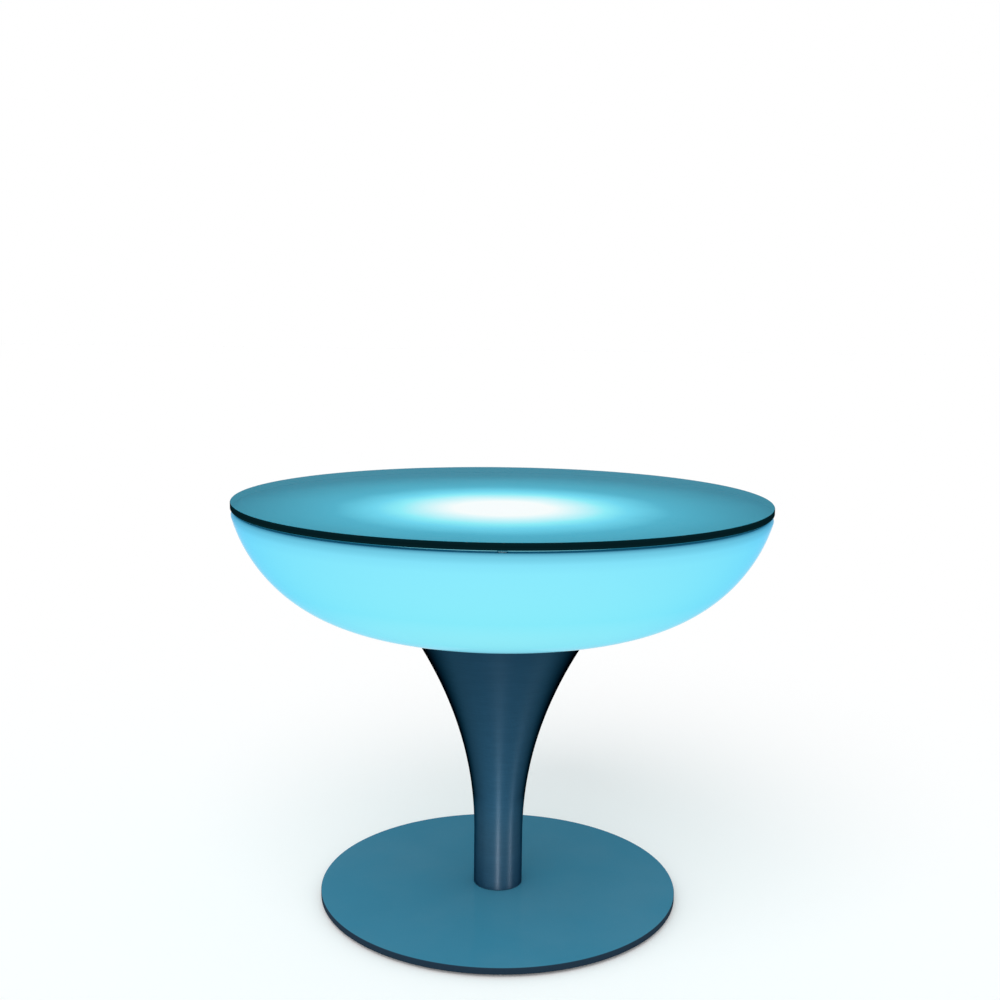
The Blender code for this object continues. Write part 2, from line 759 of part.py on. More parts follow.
def make_cover():
    aperture = dome_radius + CONTACT_GAP
    outline = [
        (aperture, cover_bottom),
        (tray_radius, cover_bottom),
        (tray_radius, cover_top - COVER_CHAMFER),
        (tray_radius - COVER_CHAMFER, cover_top),
        (aperture, cover_top),
    ]
    cover = turned("module_cover", outline, LIGHT_SIDES, white_plastic)
    low, high = cover_bottom - OVERRUN, cover_top + OVERRUN
    for spot in boss_spots():
        drill(cover, COVER_SCREW_RADIUS + HOLE_CLEARANCE, low, high, spot)
    drill(cover, BUTTON_RADIUS + CONTACT_GAP, low, high, control_spot(CONTROL_ANGLE))
    drill(cover, EYE_LENS_RADIUS + CONTACT_GAP, low, high, control_spot(-CONTROL_ANGLE))
    drill(cover, PIPE_RADIUS + CONTACT_GAP, low, high, control_spot(PIPE_ANGLE))


def make_button_head_screws(name, radius, length, head_radius, head_height, spots, height):
    """Small screws with a rounded head and a hexagon socket; length is that of the shank."""
    socket = 2 * head_radius * SOCKET_SHARE
    outline = [
        (0, -length),
        (radius, -length),
        (radius, 0),
        (head_radius, 0),
        (head_radius, head_height / 2),
        (head_radius - head_height / 2, head_height),
        flatted(socket, head_height, 6),
        flatted(socket, head_height / 2, 6),
        (0, head_height / 2),
    ]
    mesh = turned_mesh(name, outline, SMALL_SIDES)
    for index, spot in enumerate(spots, 1):
        new_object(f"{name}_{index}", mesh, zinc, (spot[0], spot[1], height))


def make_light_screws():
    make_button_head_screws(
        "module_screw",
        LUG_SCREW_RADIUS,
        LUG_SCREW_LENGTH,
        LUG_SCREW_HEAD_RADIUS,
        LUG_SCREW_HEAD_HEIGHT,
        lug_screw_spots(),
        tray_bottom + LUG_THICKNESS + CONTACT_GAP,
    )
    make_button_head_screws(
        "cover_screw",
        COVER_SCREW_RADIUS,
        COVER_SCREW_LENGTH,
        COVER_SCREW_HEAD_RADIUS,
        COVER_SCREW_HEAD_HEIGHT,
        boss_spots(),
        cover_top + CONTACT_GAP,
    )


# Diffuser, LED board and LEDs


def dome_arc(radius, height, bottom):
    """The cap of a sphere that has this radius at its foot and this height, from foot to top."""
    sphere = (radius**2 + height**2) / (2 * height)
    centre = bottom + height - sphere
    opening = math.asin(radius / sphere)
    points = []
    for step in range(DOME_STEPS):
        angle = opening * (1 - step / DOME_STEPS)
        points.append((sphere * math.sin(angle), centre + sphere * math.cos(angle)))
    return points + [(0, bottom + height)]


def make_diffuser():
    flange_top = dome_flange_bottom + DOME_FLANGE_THICKNESS
    outer = dome_arc(dome_radius, DOME_HEIGHT, flange_top)
    inner = dome_arc(dome_radius - DOME_WALL, DOME_HEIGHT - DOME_WALL, flange_top)
    flange = [
        (dome_radius - DOME_WALL, dome_flange_bottom),
        (led_board_radius, dome_flange_bottom),
        (led_board_radius, flange_top),
    ]
    turned("diffuser_dome", flange + outer + inner[::-1], LIGHT_SIDES, opal)


def make_led_board():
    outline = rod_outline(led_board_radius, led_board_bottom, led_board_top)
    turned("led_board", outline, LIGHT_SIDES, board_white)
    led_outline = [
        (0, 0),
        flatted(LED_SIDE, 0, 4),
        flatted(LED_SIDE, LED_HEIGHT, 4),
        (LED_LENS_RADIUS, LED_HEIGHT),
        (LED_LENS_RADIUS, LED_HEIGHT + LED_LENS_HEIGHT),
        (0, LED_HEIGHT + LED_LENS_HEIGHT),
    ]
    mesh = turned_mesh("led", led_outline, SMALL_SIDES)
    for index, angle in enumerate(angles(LED_COUNT), 1):
        spot = around(led_circle, angle, led_board_top + CONTACT_GAP)
        led = new_object(f"led_{index}", mesh, emitter, spot)
        led.rotation_euler.z = angle + math.pi / 4


# Battery


def make_battery():
    low = (-holder_outer_x, -holder_outer_y, holder_bottom)
    high = (holder_outer_x, holder_outer_y, holder_top)
    holder = block("battery_holder", low, high, black_plastic)
    room_low = (-holder_inner_x, -holder_inner_y, holder_inside)
    room_high = (holder_inner_x, holder_inner_y, holder_top + OVERRUN)
    cut(holder, block("holder_room", room_low, room_high, black_plastic))

    can_length = CELL_LENGTH - CELL_NUB_HEIGHT
    outline = [
        (0, 0),
        (CELL_RADIUS - CELL_EDGE, 0),
        (CELL_RADIUS, CELL_EDGE),
        (CELL_RADIUS, can_length - CELL_EDGE),
        (CELL_RADIUS - CELL_EDGE, can_length),
        (CELL_NUB_RADIUS, can_length),
        (CELL_NUB_RADIUS, CELL_LENGTH),
        (0, CELL_LENGTH),
    ]
    mesh = turned_mesh("battery_cell", outline, 2 * SMALL_SIDES)
    pitch = 2 * CELL_RADIUS + CELL_SPACING
    for index in range(CELL_COUNT):
        way = 1 if index % 2 == 0 else -1
        x = (index - (CELL_COUNT - 1) / 2) * pitch
        height = holder_inside + CONTACT_GAP + CELL_RADIUS
        cell = new_object(f"battery_cell_{index + 1}", mesh, cell_wrap, (x, way * CELL_LENGTH / 2, height))
        cell.rotation_euler.x = way * math.pi / 2


# Control board with its switch, socket, eye and charging light


def make_control_board():
    low = (board_near_x, -BOARD_WIDTH / 2, board_bottom)
    high = (board_far_x, BOARD_WIDTH / 2, board_top)
    board = block("control_board", low, high, board_green)
    chip_x = board_near_x + CHIP_ALONG
    chip_low = (chip_x - CHIP_LENGTH / 2, CHIP_Y - CHIP_WIDTH / 2, board_bottom + BOARD_THICKNESS / 2)
    chip_high = (chip_x + CHIP_LENGTH / 2, CHIP_Y + CHIP_WIDTH / 2, board_top + CHIP_HEIGHT)
    join(board, block("board_chip", chip_low, chip_high, black_plastic))


def make_switch():
    tip = SWITCH_HEIGHT + SWITCH_TIP_HEIGHT
    outline = [
        (0, 0),
        flatted(SWITCH_SIDE, 0, 4),
        flatted(SWITCH_SIDE, SWITCH_HEIGHT, 4),
        (SWITCH_TIP_RADIUS, SWITCH_HEIGHT),
        (SWITCH_TIP_RADIUS, tip),
        (0, tip),
    ]
    x, y, _ = control_spot(CONTROL_ANGLE)
    switch = turned("button_switch", outline, SMALL_SIDES, black_plastic, (x, y, on_board))
    switch.rotation_euler.z = math.pi / 4


def make_charging_socket():
    """Turned about its own axis, which points out through the tray's window."""
    back = tray_inner_radius - CONTACT_GAP - SOCKET_BODY_LENGTH
    mouth = tray_radius - CONTACT_GAP - back
    bore_end = mouth - SOCKET_BORE_DEPTH
    outline = [
        (0, 0),
        flatted(SOCKET_SIDE, 0, 4),
        flatted(SOCKET_SIDE, SOCKET_BODY_LENGTH - CONTACT_GAP, 4),
        (SOCKET_COLLAR_RADIUS - CONTACT_GAP, SOCKET_BODY_LENGTH - CONTACT_GAP),
        (SOCKET_COLLAR_RADIUS - CONTACT_GAP, mouth),
        (SOCKET_BORE_RADIUS, mouth),
        (SOCKET_BORE_RADIUS, bore_end),
        (SOCKET_PIN_RADIUS, bore_end),
        (SOCKET_PIN_RADIUS, mouth - SOCKET_PIN_RECESS),
        (0, mouth - SOCKET_PIN_RECESS),
    ]
    socket = turned("dc_socket", outline, 2 * SMALL_SIDES, black_plastic, (back, 0, socket_height))
    socket.rotation_euler = (math.pi / 4, math.pi / 2, 0)
    socket.rotation_mode = "ZYX"


def make_eye():
    bottom = cover_bottom - EYE_BODY_DROP - EYE_BODY_HEIGHT
    top = cover_top + EYE_LENS_PROUD
    outline = [
        (0, on_board),
        flatted(EYE_LEAD_SIDE, on_board, 4),
        flatted(EYE_LEAD_SIDE, bottom, 4),
        flatted(EYE_BODY_SIDE, bottom, 4),
        flatted(EYE_BODY_SIDE, bottom + EYE_BODY_HEIGHT, 4),
        (EYE_LENS_RADIUS, bottom + EYE_BODY_HEIGHT),
        (EYE_LENS_RADIUS, cover_top),
        (EYE_LENS_RADIUS / 2, top),
        (0, top),
    ]
    turned("ir_receiver", outline, SMALL_SIDES, dark_lens, control_spot(-CONTROL_ANGLE))


def make_charge_light():
    collar_top = cover_bottom - CONTACT_GAP
    outline = [
        (0, on_board),
        (PIPE_RADIUS, on_board),
        (PIPE_RADIUS, collar_top - PIPE_COLLAR_THICKNESS),
        (PIPE_COLLAR_RADIUS, collar_top - PIPE_COLLAR_THICKNESS),
        (PIPE_COLLAR_RADIUS, collar_top),
        (PIPE_RADIUS, collar_top),
        (PIPE_RADIUS, cover_top + PIPE_PROUD),
        (0, cover_top + PIPE_PROUD),
    ]
    turned("charge_light_pipe", outline, SMALL_SIDES, clear_plastic, control_spot(PIPE_ANGLE))


# Power button and its spring


def make_button():
    """Its origin is at the cover's top, on the line that it travels along."""
    collar_top = cover_bottom - CONTACT_GAP - cover_top
    collar_bottom = collar_top - BUTTON_COLLAR_THICKNESS
    switch_tip = on_board + SWITCH_HEIGHT + SWITCH_TIP_HEIGHT
    stem_end = switch_tip + CONTACT_GAP + BUTTON_TRAVEL - cover_top
    outline = [
        (0, stem_end),
        (STEM_OF_BUTTON_RADIUS, stem_end),
        (STEM_OF_BUTTON_RADIUS, collar_bottom),
        (BUTTON_COLLAR_RADIUS, collar_bottom),
        (BUTTON_COLLAR_RADIUS, collar_top),
        (BUTTON_RADIUS, collar_top),
        (BUTTON_RADIUS, BUTTON_PROUD - BUTTON_EDGE),
        (BUTTON_RADIUS - BUTTON_EDGE, BUTTON_PROUD),
        (0, BUTTON_PROUD),
    ]
    x, y, _ = control_spot(CONTROL_ANGLE)
    turned("power_button", outline, 2 * SMALL_SIDES, button_grey, (x, y, cover_top))


def tube(name, points, radius, resolution, material):
    """A wire along the points, with its ends closed."""
    curve = bpy.data.curves.new(name, "CURVE")
    curve.dimensions = "3D"
    curve.bevel_depth = radius
    curve.bevel_resolution = resolution
    curve.use_fill_caps = True
    spline = curve.splines.new("POLY")
    spline.points.add(len(points) - 1)
    for point, place in zip(spline.points, points):
        point.co = (*place, 1.0)
    wire = bpy.data.objects.new(name, curve)
    curve.materials.append(material)
    bpy.context.collection.objects.link(wire)


def make_spring():
    x, y, _ = control_spot(CONTROL_ANGLE)
    bottom = on_board + SWITCH_HEIGHT + CONTACT_GAP + SPRING_WIRE_RADIUS
    collar_bottom = cover_bottom - CONTACT_GAP - BUTTON_COLLAR_THICKNESS
    top = collar_bottom - CONTACT_GAP - SPRING_WIRE_RADIUS
    count = SPRING_TURNS * SPRING_POINTS_PER_TURN
    points = []
    for step in range(count + 1):
        angle = math.tau * step / SPRING_POINTS_PER_TURN
        height = bottom + (top - bottom) * step / count
        points.append((x + SPRING_RADIUS * math.cos(angle), y + SPRING_RADIUS * math.sin(angle), height))
    tube("button_spring", points, SPRING_WIRE_RADIUS, 1, zinc)


# Cap over the charging socket


def make_socket_cap():
    """Its origin is on the strap's fold, about which the cap opens."""
    inner_face = tray_radius + CONTACT_GAP
    middle = inner_face + CAP_THICKNESS / 2
    hinge = (middle, 0, socket_height + CAP_HINGE_RISE)
    # The disc lies across X, with its nub towards the socket.
    outline = [
        (0, -CAP_NUB_LENGTH - CAP_THICKNESS / 2 - CONTACT_GAP),
        (CAP_NUB_RADIUS, -CAP_NUB_LENGTH - CAP_THICKNESS / 2 - CONTACT_GAP),
        (CAP_NUB_RADIUS, -CAP_THICKNESS / 2),
        (CAP_RADIUS, -CAP_THICKNESS / 2),
        (CAP_RADIUS, CAP_THICKNESS / 2),
        (0, CAP_THICKNESS / 2),
    ]
    mesh = turned_mesh("socket_cap", outline, 2 * SMALL_SIDES)
    for vertex in mesh.vertices:
        x, y, z = vertex.co
        vertex.co = (z, y, -x - CAP_HINGE_RISE)
    cap = new_object("socket_cap", mesh, rubber, hinge)

    knuckle_outline = rod_outline(CAP_THICKNESS / 2, -CAP_STRAP_WIDTH / 2, CAP_STRAP_WIDTH / 2)
    knuckle = turned("cap_knuckle", knuckle_outline, SMALL_SIDES, rubber)
    knuckle.rotation_euler.x = math.pi / 2
    knuckle.location = hinge
    strap_low = (inner_face, -CAP_STRAP_WIDTH / 2, socket_height + CAP_RADIUS / 2)
    strap_high = (inner_face + CAP_THICKNESS, CAP_STRAP_WIDTH / 2, hinge[2])
    join(cap, block("cap_strap", strap_low, strap_high, rubber), knuckle)

    anchor_bottom = hinge[2] + CAP_THICKNESS / 2 + CONTACT_GAP
    anchor_low = (inner_face, -CAP_STRAP_WIDTH / 2, anchor_bottom)
    anchor_high = (inner_face + CAP_THICKNESS, CAP_STRAP_WIDTH / 2, anchor_bottom + ANCHOR_HEIGHT)
    block("cap_anchor", anchor_low, anchor_high, rubber)


# Leads


def smooth_route(start, start_handle, end_handle, end):
    """Points on the curve that leaves start towards its handle and reaches end from the other handle."""
    places = [Vector(place) for place in (start, start_handle, end_handle, end)]
    points = []
    for step in range(LEAD_POINTS):
        share = step / (LEAD_POINTS - 1)
        rest = 1 - share
        weights = (rest**3, 3 * rest**2 * share, 3 * rest * share**2, share**3)
        points.append(tuple(sum((place * weight for place, weight in zip(places, weights)), Vector())))
    return points


def make_leads():
    start_x = holder_outer_x + CONTACT_GAP
    start_height = (holder_inside + holder_top) / 2
    end_x = board_near_x + LEAD_RADIUS + LEAD_SPACING / 2
    pair = (("battery_lead_red", red_lead), ("battery_lead_black", black_lead))
    for index, (name, material) in enumerate(pair):
        y = LEAD_Y + index * LEAD_SPACING
        start = (start_x, y, start_height)
        leaving = (start_x + LEAD_REACH, y, start_height)
        landing = (end_x, y, on_board + LEAD_REACH)
        tube(name, smooth_route(start, leaving, landing, (end_x, y, on_board)), LEAD_RADIUS, 1, material)

    top = led_board_bottom - CONTACT_GAP
    x = board_near_x + LIGHT_LEAD_ALONG
    start = (x, LIGHT_LEAD_Y, on_board)
    leaving = (x, LIGHT_LEAD_Y, on_board + LEAD_RISE)
    landing = (x - LIGHT_LEAD_BOW, LIGHT_LEAD_Y, top - LEAD_RISE)
    end = (x - LIGHT_LEAD_BOW, LIGHT_LEAD_Y, top)
    tube("led_lead", smooth_route(start, leaving, landing, end), LEAD_RADIUS, 1, white_lead)


def make_table():
    make_pads()
    make_base_plate()
    make_foot_screws()
    make_column()
    make_foot_plug()
    make_flange()
    make_bowl()
    make_clamp_plate()
    make_bolts()
    make_bumpers()
    make_glass()
    make_tray()
    make_seal()
    make_cover()
    make_light_screws()
    make_diffuser()
    make_led_board()
    make_battery()
    make_control_board()
    make_switch()
    make_charging_socket()
    make_eye()
    make_charge_light()
    make_button()
    make_spring()
    make_socket_cap()
    make_leads()


make_table()
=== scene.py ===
# %% [markdown]
# # A round table that lights up
#
# The CAD model of this table is finished: its solids say how large each piece is and where it sits.
# This lesson gives it its looks. It sets up a camera and a small studio, mixes the finishes, and makes
# finer meshes for the pieces that show.
# A fixed frame comes first, so that nothing has to be measured twice: every new piece takes its place
# from the box of the CAD node that it stands for.

import math

import bmesh
import bpy
from mathutils import Euler, Matrix, Vector


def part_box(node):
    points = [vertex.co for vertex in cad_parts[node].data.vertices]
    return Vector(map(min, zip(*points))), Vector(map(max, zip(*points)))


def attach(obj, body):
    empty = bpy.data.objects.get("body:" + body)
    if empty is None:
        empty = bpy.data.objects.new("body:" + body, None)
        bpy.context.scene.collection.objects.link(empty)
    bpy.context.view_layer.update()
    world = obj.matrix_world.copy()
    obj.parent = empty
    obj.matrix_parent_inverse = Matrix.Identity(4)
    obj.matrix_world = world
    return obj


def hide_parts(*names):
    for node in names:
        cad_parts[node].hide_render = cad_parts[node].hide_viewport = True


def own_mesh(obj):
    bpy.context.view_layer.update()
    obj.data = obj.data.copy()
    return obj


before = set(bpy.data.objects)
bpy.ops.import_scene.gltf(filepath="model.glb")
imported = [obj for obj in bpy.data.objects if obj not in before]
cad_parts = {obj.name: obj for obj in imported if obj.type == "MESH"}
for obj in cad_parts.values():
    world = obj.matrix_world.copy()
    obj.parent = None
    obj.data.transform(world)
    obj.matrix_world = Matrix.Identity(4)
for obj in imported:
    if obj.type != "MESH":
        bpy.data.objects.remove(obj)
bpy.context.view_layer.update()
print("nodes:", len(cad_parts))

# %% [markdown]
# ## The camera
#
# A camera can be placed by eye, or worked out from the picture: the oval of the glass says how far down
# the camera looks, and how much the near edge grows says how close it stands.
# Here it stands 1.42 m in front of the table, a little higher than the glass, and leans by less than a
# degree. The lean is a turn about the camera's own axis, so it comes last.

# %% Place the camera
LENS_MM = 45.89
SENSOR_MM = 36
CAMERA_PLACE = (-0.0027, -1.4197, 0.6591)
LOOKS_DOWN = math.radians(7.93)
LEANS = math.radians(0.70)

camera_data = bpy.data.cameras.new("camera")
camera_data.lens = LENS_MM
camera_data.sensor_width = SENSOR_MM
camera = bpy.data.objects.new("camera", camera_data)
camera.location = CAMERA_PLACE
aim = Euler((math.radians(90) - LOOKS_DOWN, 0, 0)).to_matrix()
camera.rotation_euler = (aim @ Matrix.Rotation(LEANS, 3, "Z")).to_euler()
bpy.context.collection.objects.link(camera)
bpy.context.scene.camera = camera
bpy.context.scene.view_settings.view_transform = "Standard"
print("camera at", CAMERA_PLACE)

# %% [markdown]
# ## Wiring nodes with less typing
#
# A node material can be clicked together or written down. Written down, every node takes three lines, so
# small helpers pay for themselves. `add` makes a node and fills its sockets, and `maths` and `vectors` do
# sums with numbers and with places.
# A socket that is given another socket is linked to it, and one that is given a number keeps the number.

# %% Helpers for nodes
def feed(tree, socket, value):
    if isinstance(value, bpy.types.NodeSocket):
        tree.links.new(value, socket)
    elif hasattr(socket.default_value, "__len__") and len(value) < len(socket.default_value):
        socket.default_value = (*value, 1.0)
    else:
        socket.default_value = value


def add(tree, kind, settings=None, **sockets):
    made = tree.nodes.new("ShaderNode" + kind)
    for name, value in (settings or {}).items():
        setattr(made, name, value)
    for name, value in sockets.items():
        feed(tree, made.inputs[name.replace("_", " ")], value)
    return made


def maths(tree, operation, *values, clamp=False):
    made = add(tree, "Math", {"operation": operation, "use_clamp": clamp})
    for socket, value in zip(made.inputs, values):
        feed(tree, socket, value)
    return made.outputs[0]


def vectors(tree, operation, *values, result="Vector"):
    made = add(tree, "VectorMath", {"operation": operation})
    for socket, value in zip(made.inputs, values):
        feed(tree, socket, value)
    return made.outputs[result]


print("node helpers ready")

# %% [markdown]
# Most effects start from the same few questions: where a point is, which way the surface looks there, and
# how a noise runs over it. They end with colours: two of them mixed, one made lighter or darker, or a run
# of colours along a value. `between` says where a value lies between two others, as a share from 0 to 1 or
# in a range that it is given.

# %% Helpers for places and colours
def object_place(tree):
    return add(tree, "TexCoord").outputs["Object"]


def facing(tree):
    return add(tree, "NewGeometry").outputs["Normal"]


def along(tree, vector, axis):
    return add(tree, "SeparateXYZ", Vector=vector).outputs[axis]


def noise(tree, place, scale, detail, **sockets):
    return add(tree, "TexNoise", Vector=place, Scale=scale, Detail=detail, **sockets).outputs["Fac"]


def between(tree, value, low, high, at_low=0.0, at_high=1.0):
    """Where the value lies between low and high, as a number from at_low to at_high."""
    made = add(tree, "MapRange", Value=value, From_Min=low, From_Max=high, To_Min=at_low, To_Max=at_high)
    return made.outputs["Result"]


def mixed(tree, share, first, second, how="MIX"):
    made = add(tree, "Mix", {"data_type": "RGBA", "blend_type": how})
    for socket, value in zip((made.inputs[0], made.inputs[6], made.inputs[7]), (share, first, second)):
        feed(tree, socket, value)
    return made.outputs[2]


def shaded(tree, colour, shade):
    """The colour times the shade: 1 leaves it, less makes it darker."""
    tone = add(tree, "CombineColor", Red=shade, Green=shade, Blue=shade).outputs["Color"]
    return mixed(tree, 1.0, colour, tone, "MULTIPLY")


def ramp(tree, value, stops):
    made = add(tree, "ValToRGB", Fac=value)
    points = made.color_ramp.elements
    while len(points) < len(stops):
        points.new(1.0)
    for point, (place, colour) in zip(points, stops):
        point.position = place
        point.color = (*colour, 1.0)
    return made.outputs["Color"]


print("place and colour helpers ready")

# %% [markdown]
# Colours are easiest to read off a picture as numbers from 0 to 255. Blender reckons with light instead,
# where half as much light is half the number. `seen` turns the first kind into the second.

# %% Colours as the eye sees them
def seen(*colour):
    def to_light(value):
        value = value / 255
        return value / 12.92 if value <= 0.04045 else ((value + 0.055) / 1.055) ** 2.4

    return tuple(to_light(value) for value in colour)


print("mid grey is", round(seen(128)[0], 3), "of white")

# %% [markdown]
# ## The studio
#
# A plain studio is a pale floor that runs into a white distance, under broad soft light. It could be a
# curved backdrop with large lamps. A white world does the same with less noise: it lights the table evenly
# from all round, and one broad sun adds a soft direction.
# The world shows full white to the camera, and to what metal and glass mirror. Plain surfaces get a
# little less of it, because the sun gives the rest, so that a colour comes out about as it is written.

# %% White world
DOME_LEVEL = 0.74

world = bpy.data.worlds.new("studio")
world.use_nodes = True
sky = world.node_tree
sky.nodes.clear()
ray = add(sky, "LightPath")
shown = maths(sky, "MAXIMUM", ray.outputs["Is Camera Ray"], ray.outputs["Is Glossy Ray"])
shown = maths(sky, "MAXIMUM", shown, ray.outputs["Is Transmission Ray"])
level = between(sky, shown, 0.0, 1.0, DOME_LEVEL, 1.0)
backdrop = add(sky, "Background", Color=(1.0, 1.0, 1.0), Strength=level)
sky.links.new(backdrop.outputs[0], add(sky, "OutputWorld").inputs["Surface"])
bpy.context.scene.world = world
print("world lights plain surfaces at", DOME_LEVEL)

# %% [markdown]
# The sun is as wide as a large softbox close by, so its shadow has no hard edge.

# %% Sun
SUN_STRENGTH = 0.95
SUN_WIDTH = math.radians(50)
SUN_TILT = math.radians(38)
SUN_TURN = math.radians(-15)
SUN_HEIGHT = 3


def add_lamp(name, kind, strength, place, turn):
    data = bpy.data.lights.new(name, kind)
    data.energy = strength
    lamp = bpy.data.objects.new(name, data)
    lamp.location = place
    lamp.rotation_euler = turn
    bpy.context.collection.objects.link(lamp)
    return lamp


sun = add_lamp("soft_sun", "SUN", SUN_STRENGTH, (0, 0, SUN_HEIGHT), (SUN_TILT, 0, SUN_TURN))
sun.data.angle = SUN_WIDTH
print("sun", round(math.degrees(SUN_WIDTH)), "degrees wide")

# %% [markdown]
# A round steel tube shows what stands in front of it. Photographers put large softboxes on both sides of
# the camera, so that the middle of the tube is bright and its sides stay dark, and narrow ones give the
# thin upright lights. These lamps are there for that alone, so light linking gives them a collection of
# the things that they reach. The column joins it as soon as it is made.

# %% Lamps that only the steel mirrors
LAMPS_HEIGHT = 0.62
SOFTBOX_AWAY, SOFTBOX_SIZE, SOFTBOX_TURN, SOFTBOX_WHITES = 2.2, (2.8, 1.2), math.radians(34), 0.9
STRIP_AWAY, STRIP_SIZE = 2.0, (0.06, 1.2)
NEUTRAL = (1.0, 1.0, 1.0)
WARM = (1.0, 0.43, 0.33)

mirrors_lamps = bpy.data.collections.new("mirrors the lamps")


def add_mirrored_lamp(name, turn, away, size, brightness, colour):
    """A lamp that faces the column, turned about it from the camera's side, as bright as so many whites."""
    place = (away * math.sin(turn), -away * math.cos(turn), LAMPS_HEIGHT)
    strength = brightness * math.pi * size[0] * size[1]
    lamp = add_lamp(name, "AREA", strength, place, (math.radians(90), 0, turn))
    lamp.data.shape = "RECTANGLE"
    lamp.data.size, lamp.data.size_y = size
    lamp.data.color = colour
    lamp.visible_camera = False
    lamp.light_linking.receiver_collection = mirrors_lamps


for name, turn in (("softbox_left", -SOFTBOX_TURN), ("softbox_right", SOFTBOX_TURN)):
    add_mirrored_lamp(name, turn, SOFTBOX_AWAY, SOFTBOX_SIZE, SOFTBOX_WHITES, NEUTRAL)
for name, degrees, whites in (("strip_middle", -1, 135.0), ("strip_right", 57, 80.0)):
    add_mirrored_lamp(name, math.radians(degrees), STRIP_AWAY, STRIP_SIZE, whites, WARM)
print("lamps:", [light.name for light in bpy.data.lights])

# %% [markdown]
# The floor returns nine tenths of its light. To the camera it also glows by the missing tenth, so it meets
# the white distance without a line, and the table's soft shadow still shows on it.

# %% Floor
FLOOR_REACH = 30.0
FLOOR_COLOUR = (0.90, 0.90, 0.90)
FLOOR_LIFT = 0.12


def floor_material():
    material = bpy.data.materials.new("studio floor")
    material.use_nodes = True
    tree = material.node_tree
    tree.nodes.clear()
    matt = add(tree, "BsdfDiffuse", Color=FLOOR_COLOUR)
    to_camera = maths(tree, "MULTIPLY", add(tree, "LightPath").outputs["Is Camera Ray"], FLOOR_LIFT)
    lift = add(tree, "Emission", Color=NEUTRAL, Strength=to_camera)
    both = add(tree, "AddShader")
    tree.links.new(matt.outputs[0], both.inputs[0])
    tree.links.new(lift.outputs[0], both.inputs[1])
    tree.links.new(both.outputs[0], add(tree, "OutputMaterial").inputs["Surface"])
    return material


floor_mesh = bpy.data.meshes.new("floor")
corners = [(-1, -1), (1, -1), (1, 1), (-1, 1)]
floor_mesh.from_pydata([(x * FLOOR_REACH, y * FLOOR_REACH, 0.0) for x, y in corners], [], [(0, 1, 2, 3)])
floor_mesh.materials.append(floor_material())
floor = bpy.data.objects.new("floor", floor_mesh)
bpy.context.collection.objects.link(floor)
print("floor reaches", FLOOR_REACH, "m")

# %% [markdown]
# ## Effects that several finishes share
#
# Moulded plastic, rubber and paint all have a fine grain. Metal and plastic edges go bright where hands
# rub them, and dust lies on what faces up. Each of these could be wired into every material again.
# A node group is wired once, has named sockets, and is then placed in each material with its own numbers.

# %% Start a node group
WHITE = (1.0, 1.0, 1.0, 1.0)


def start_group(name, inputs, outputs):
    group = bpy.data.node_groups.new(name, "ShaderNodeTree")
    for socket_name, kind, value in inputs:
        socket = group.interface.new_socket(socket_name, in_out="INPUT", socket_type="NodeSocket" + kind)
        socket.default_value = value
    for socket_name, kind in outputs:
        group.interface.new_socket(socket_name, in_out="OUTPUT", socket_type="NodeSocket" + kind)
    print(name, "takes", [socket[0] for socket in inputs], "and gives", [socket[0] for socket in outputs])
    return group, group.nodes.new("NodeGroupInput").outputs, group.nodes.new("NodeGroupOutput").inputs


def place_group(tree, group, **sockets):
    return add(tree, "Group", {"node_tree": group}, **sockets).outputs


print("group helpers ready")

# %% [markdown]
# Grain: one noise at the size of the grain feeds the bump and the shine, and a slower, larger one shifts
# the colour a little, because no batch of plastic or paint is quite even.

# %% Group: grain
MOTTLE_SCALE = 22.0

grain, given, out = start_group(
    "grain",
    [("Colour", "Color", WHITE), ("Grains per metre", "Float", 2500.0), ("Mottle", "Float", 0.08),
     ("Roughness", "Float", 0.45), ("Roughness spread", "Float", 0.10)],
    [("Colour", "Color"), ("Roughness", "Float"), ("Height", "Float")],
)
where = object_place(grain)
fine = noise(grain, where, given["Grains per metre"], 2.0)
slow = noise(grain, where, MOTTLE_SCALE, 4.0)
shade = maths(grain, "MULTIPLY_ADD", maths(grain, "SUBTRACT", slow, 0.5), given["Mottle"], 1.0)
uneven = maths(grain, "SUBTRACT", maths(grain, "ADD", fine, slow), 1.0)
rough = maths(grain, "MULTIPLY_ADD", uneven, given["Roughness spread"], given["Roughness"])
feed(grain, out["Colour"], shaded(grain, given["Colour"], shade))
feed(grain, out["Roughness"], rough)
feed(grain, out["Height"], fine)
print("grain wired with", len(grain.nodes), "nodes")

# %% [markdown]
# Worn edges: the Bevel node gives the normal that a rounded edge would have. Where it differs from the
# real one there is an edge. A noise breaks the mask up, so the wear is not an even outline.

# %% Group: worn edges
PATCH_SCALE = 160.0

worn_edges, given, out = start_group(
    "worn edges",
    [("Colour", "Color", WHITE), ("Worn colour", "Color", WHITE), ("Width", "Float", 0.0006),
     ("Amount", "Float", 0.5)],
    [("Colour", "Color")],
)
eased = add(worn_edges, "Bevel", {"samples": 4}, Radius=given["Width"]).outputs["Normal"]
same = vectors(worn_edges, "DOT_PRODUCT", eased, facing(worn_edges), result="Value")
edge = between(worn_edges, same, 0.995, 0.90)
patches = noise(worn_edges, object_place(worn_edges), PATCH_SCALE, 3.0)
mask = maths(worn_edges, "MULTIPLY", edge, between(worn_edges, patches, 0.35, 0.65))
mask = maths(worn_edges, "MULTIPLY", mask, given["Amount"], clamp=True)
feed(worn_edges, out["Colour"], mixed(worn_edges, mask, given["Colour"], given["Worn colour"]))
print("worn edges wired with", len(worn_edges.nodes), "nodes")

# %% [markdown]
# Dust: it lies where the surface faces up, in soft patches with a few specks.

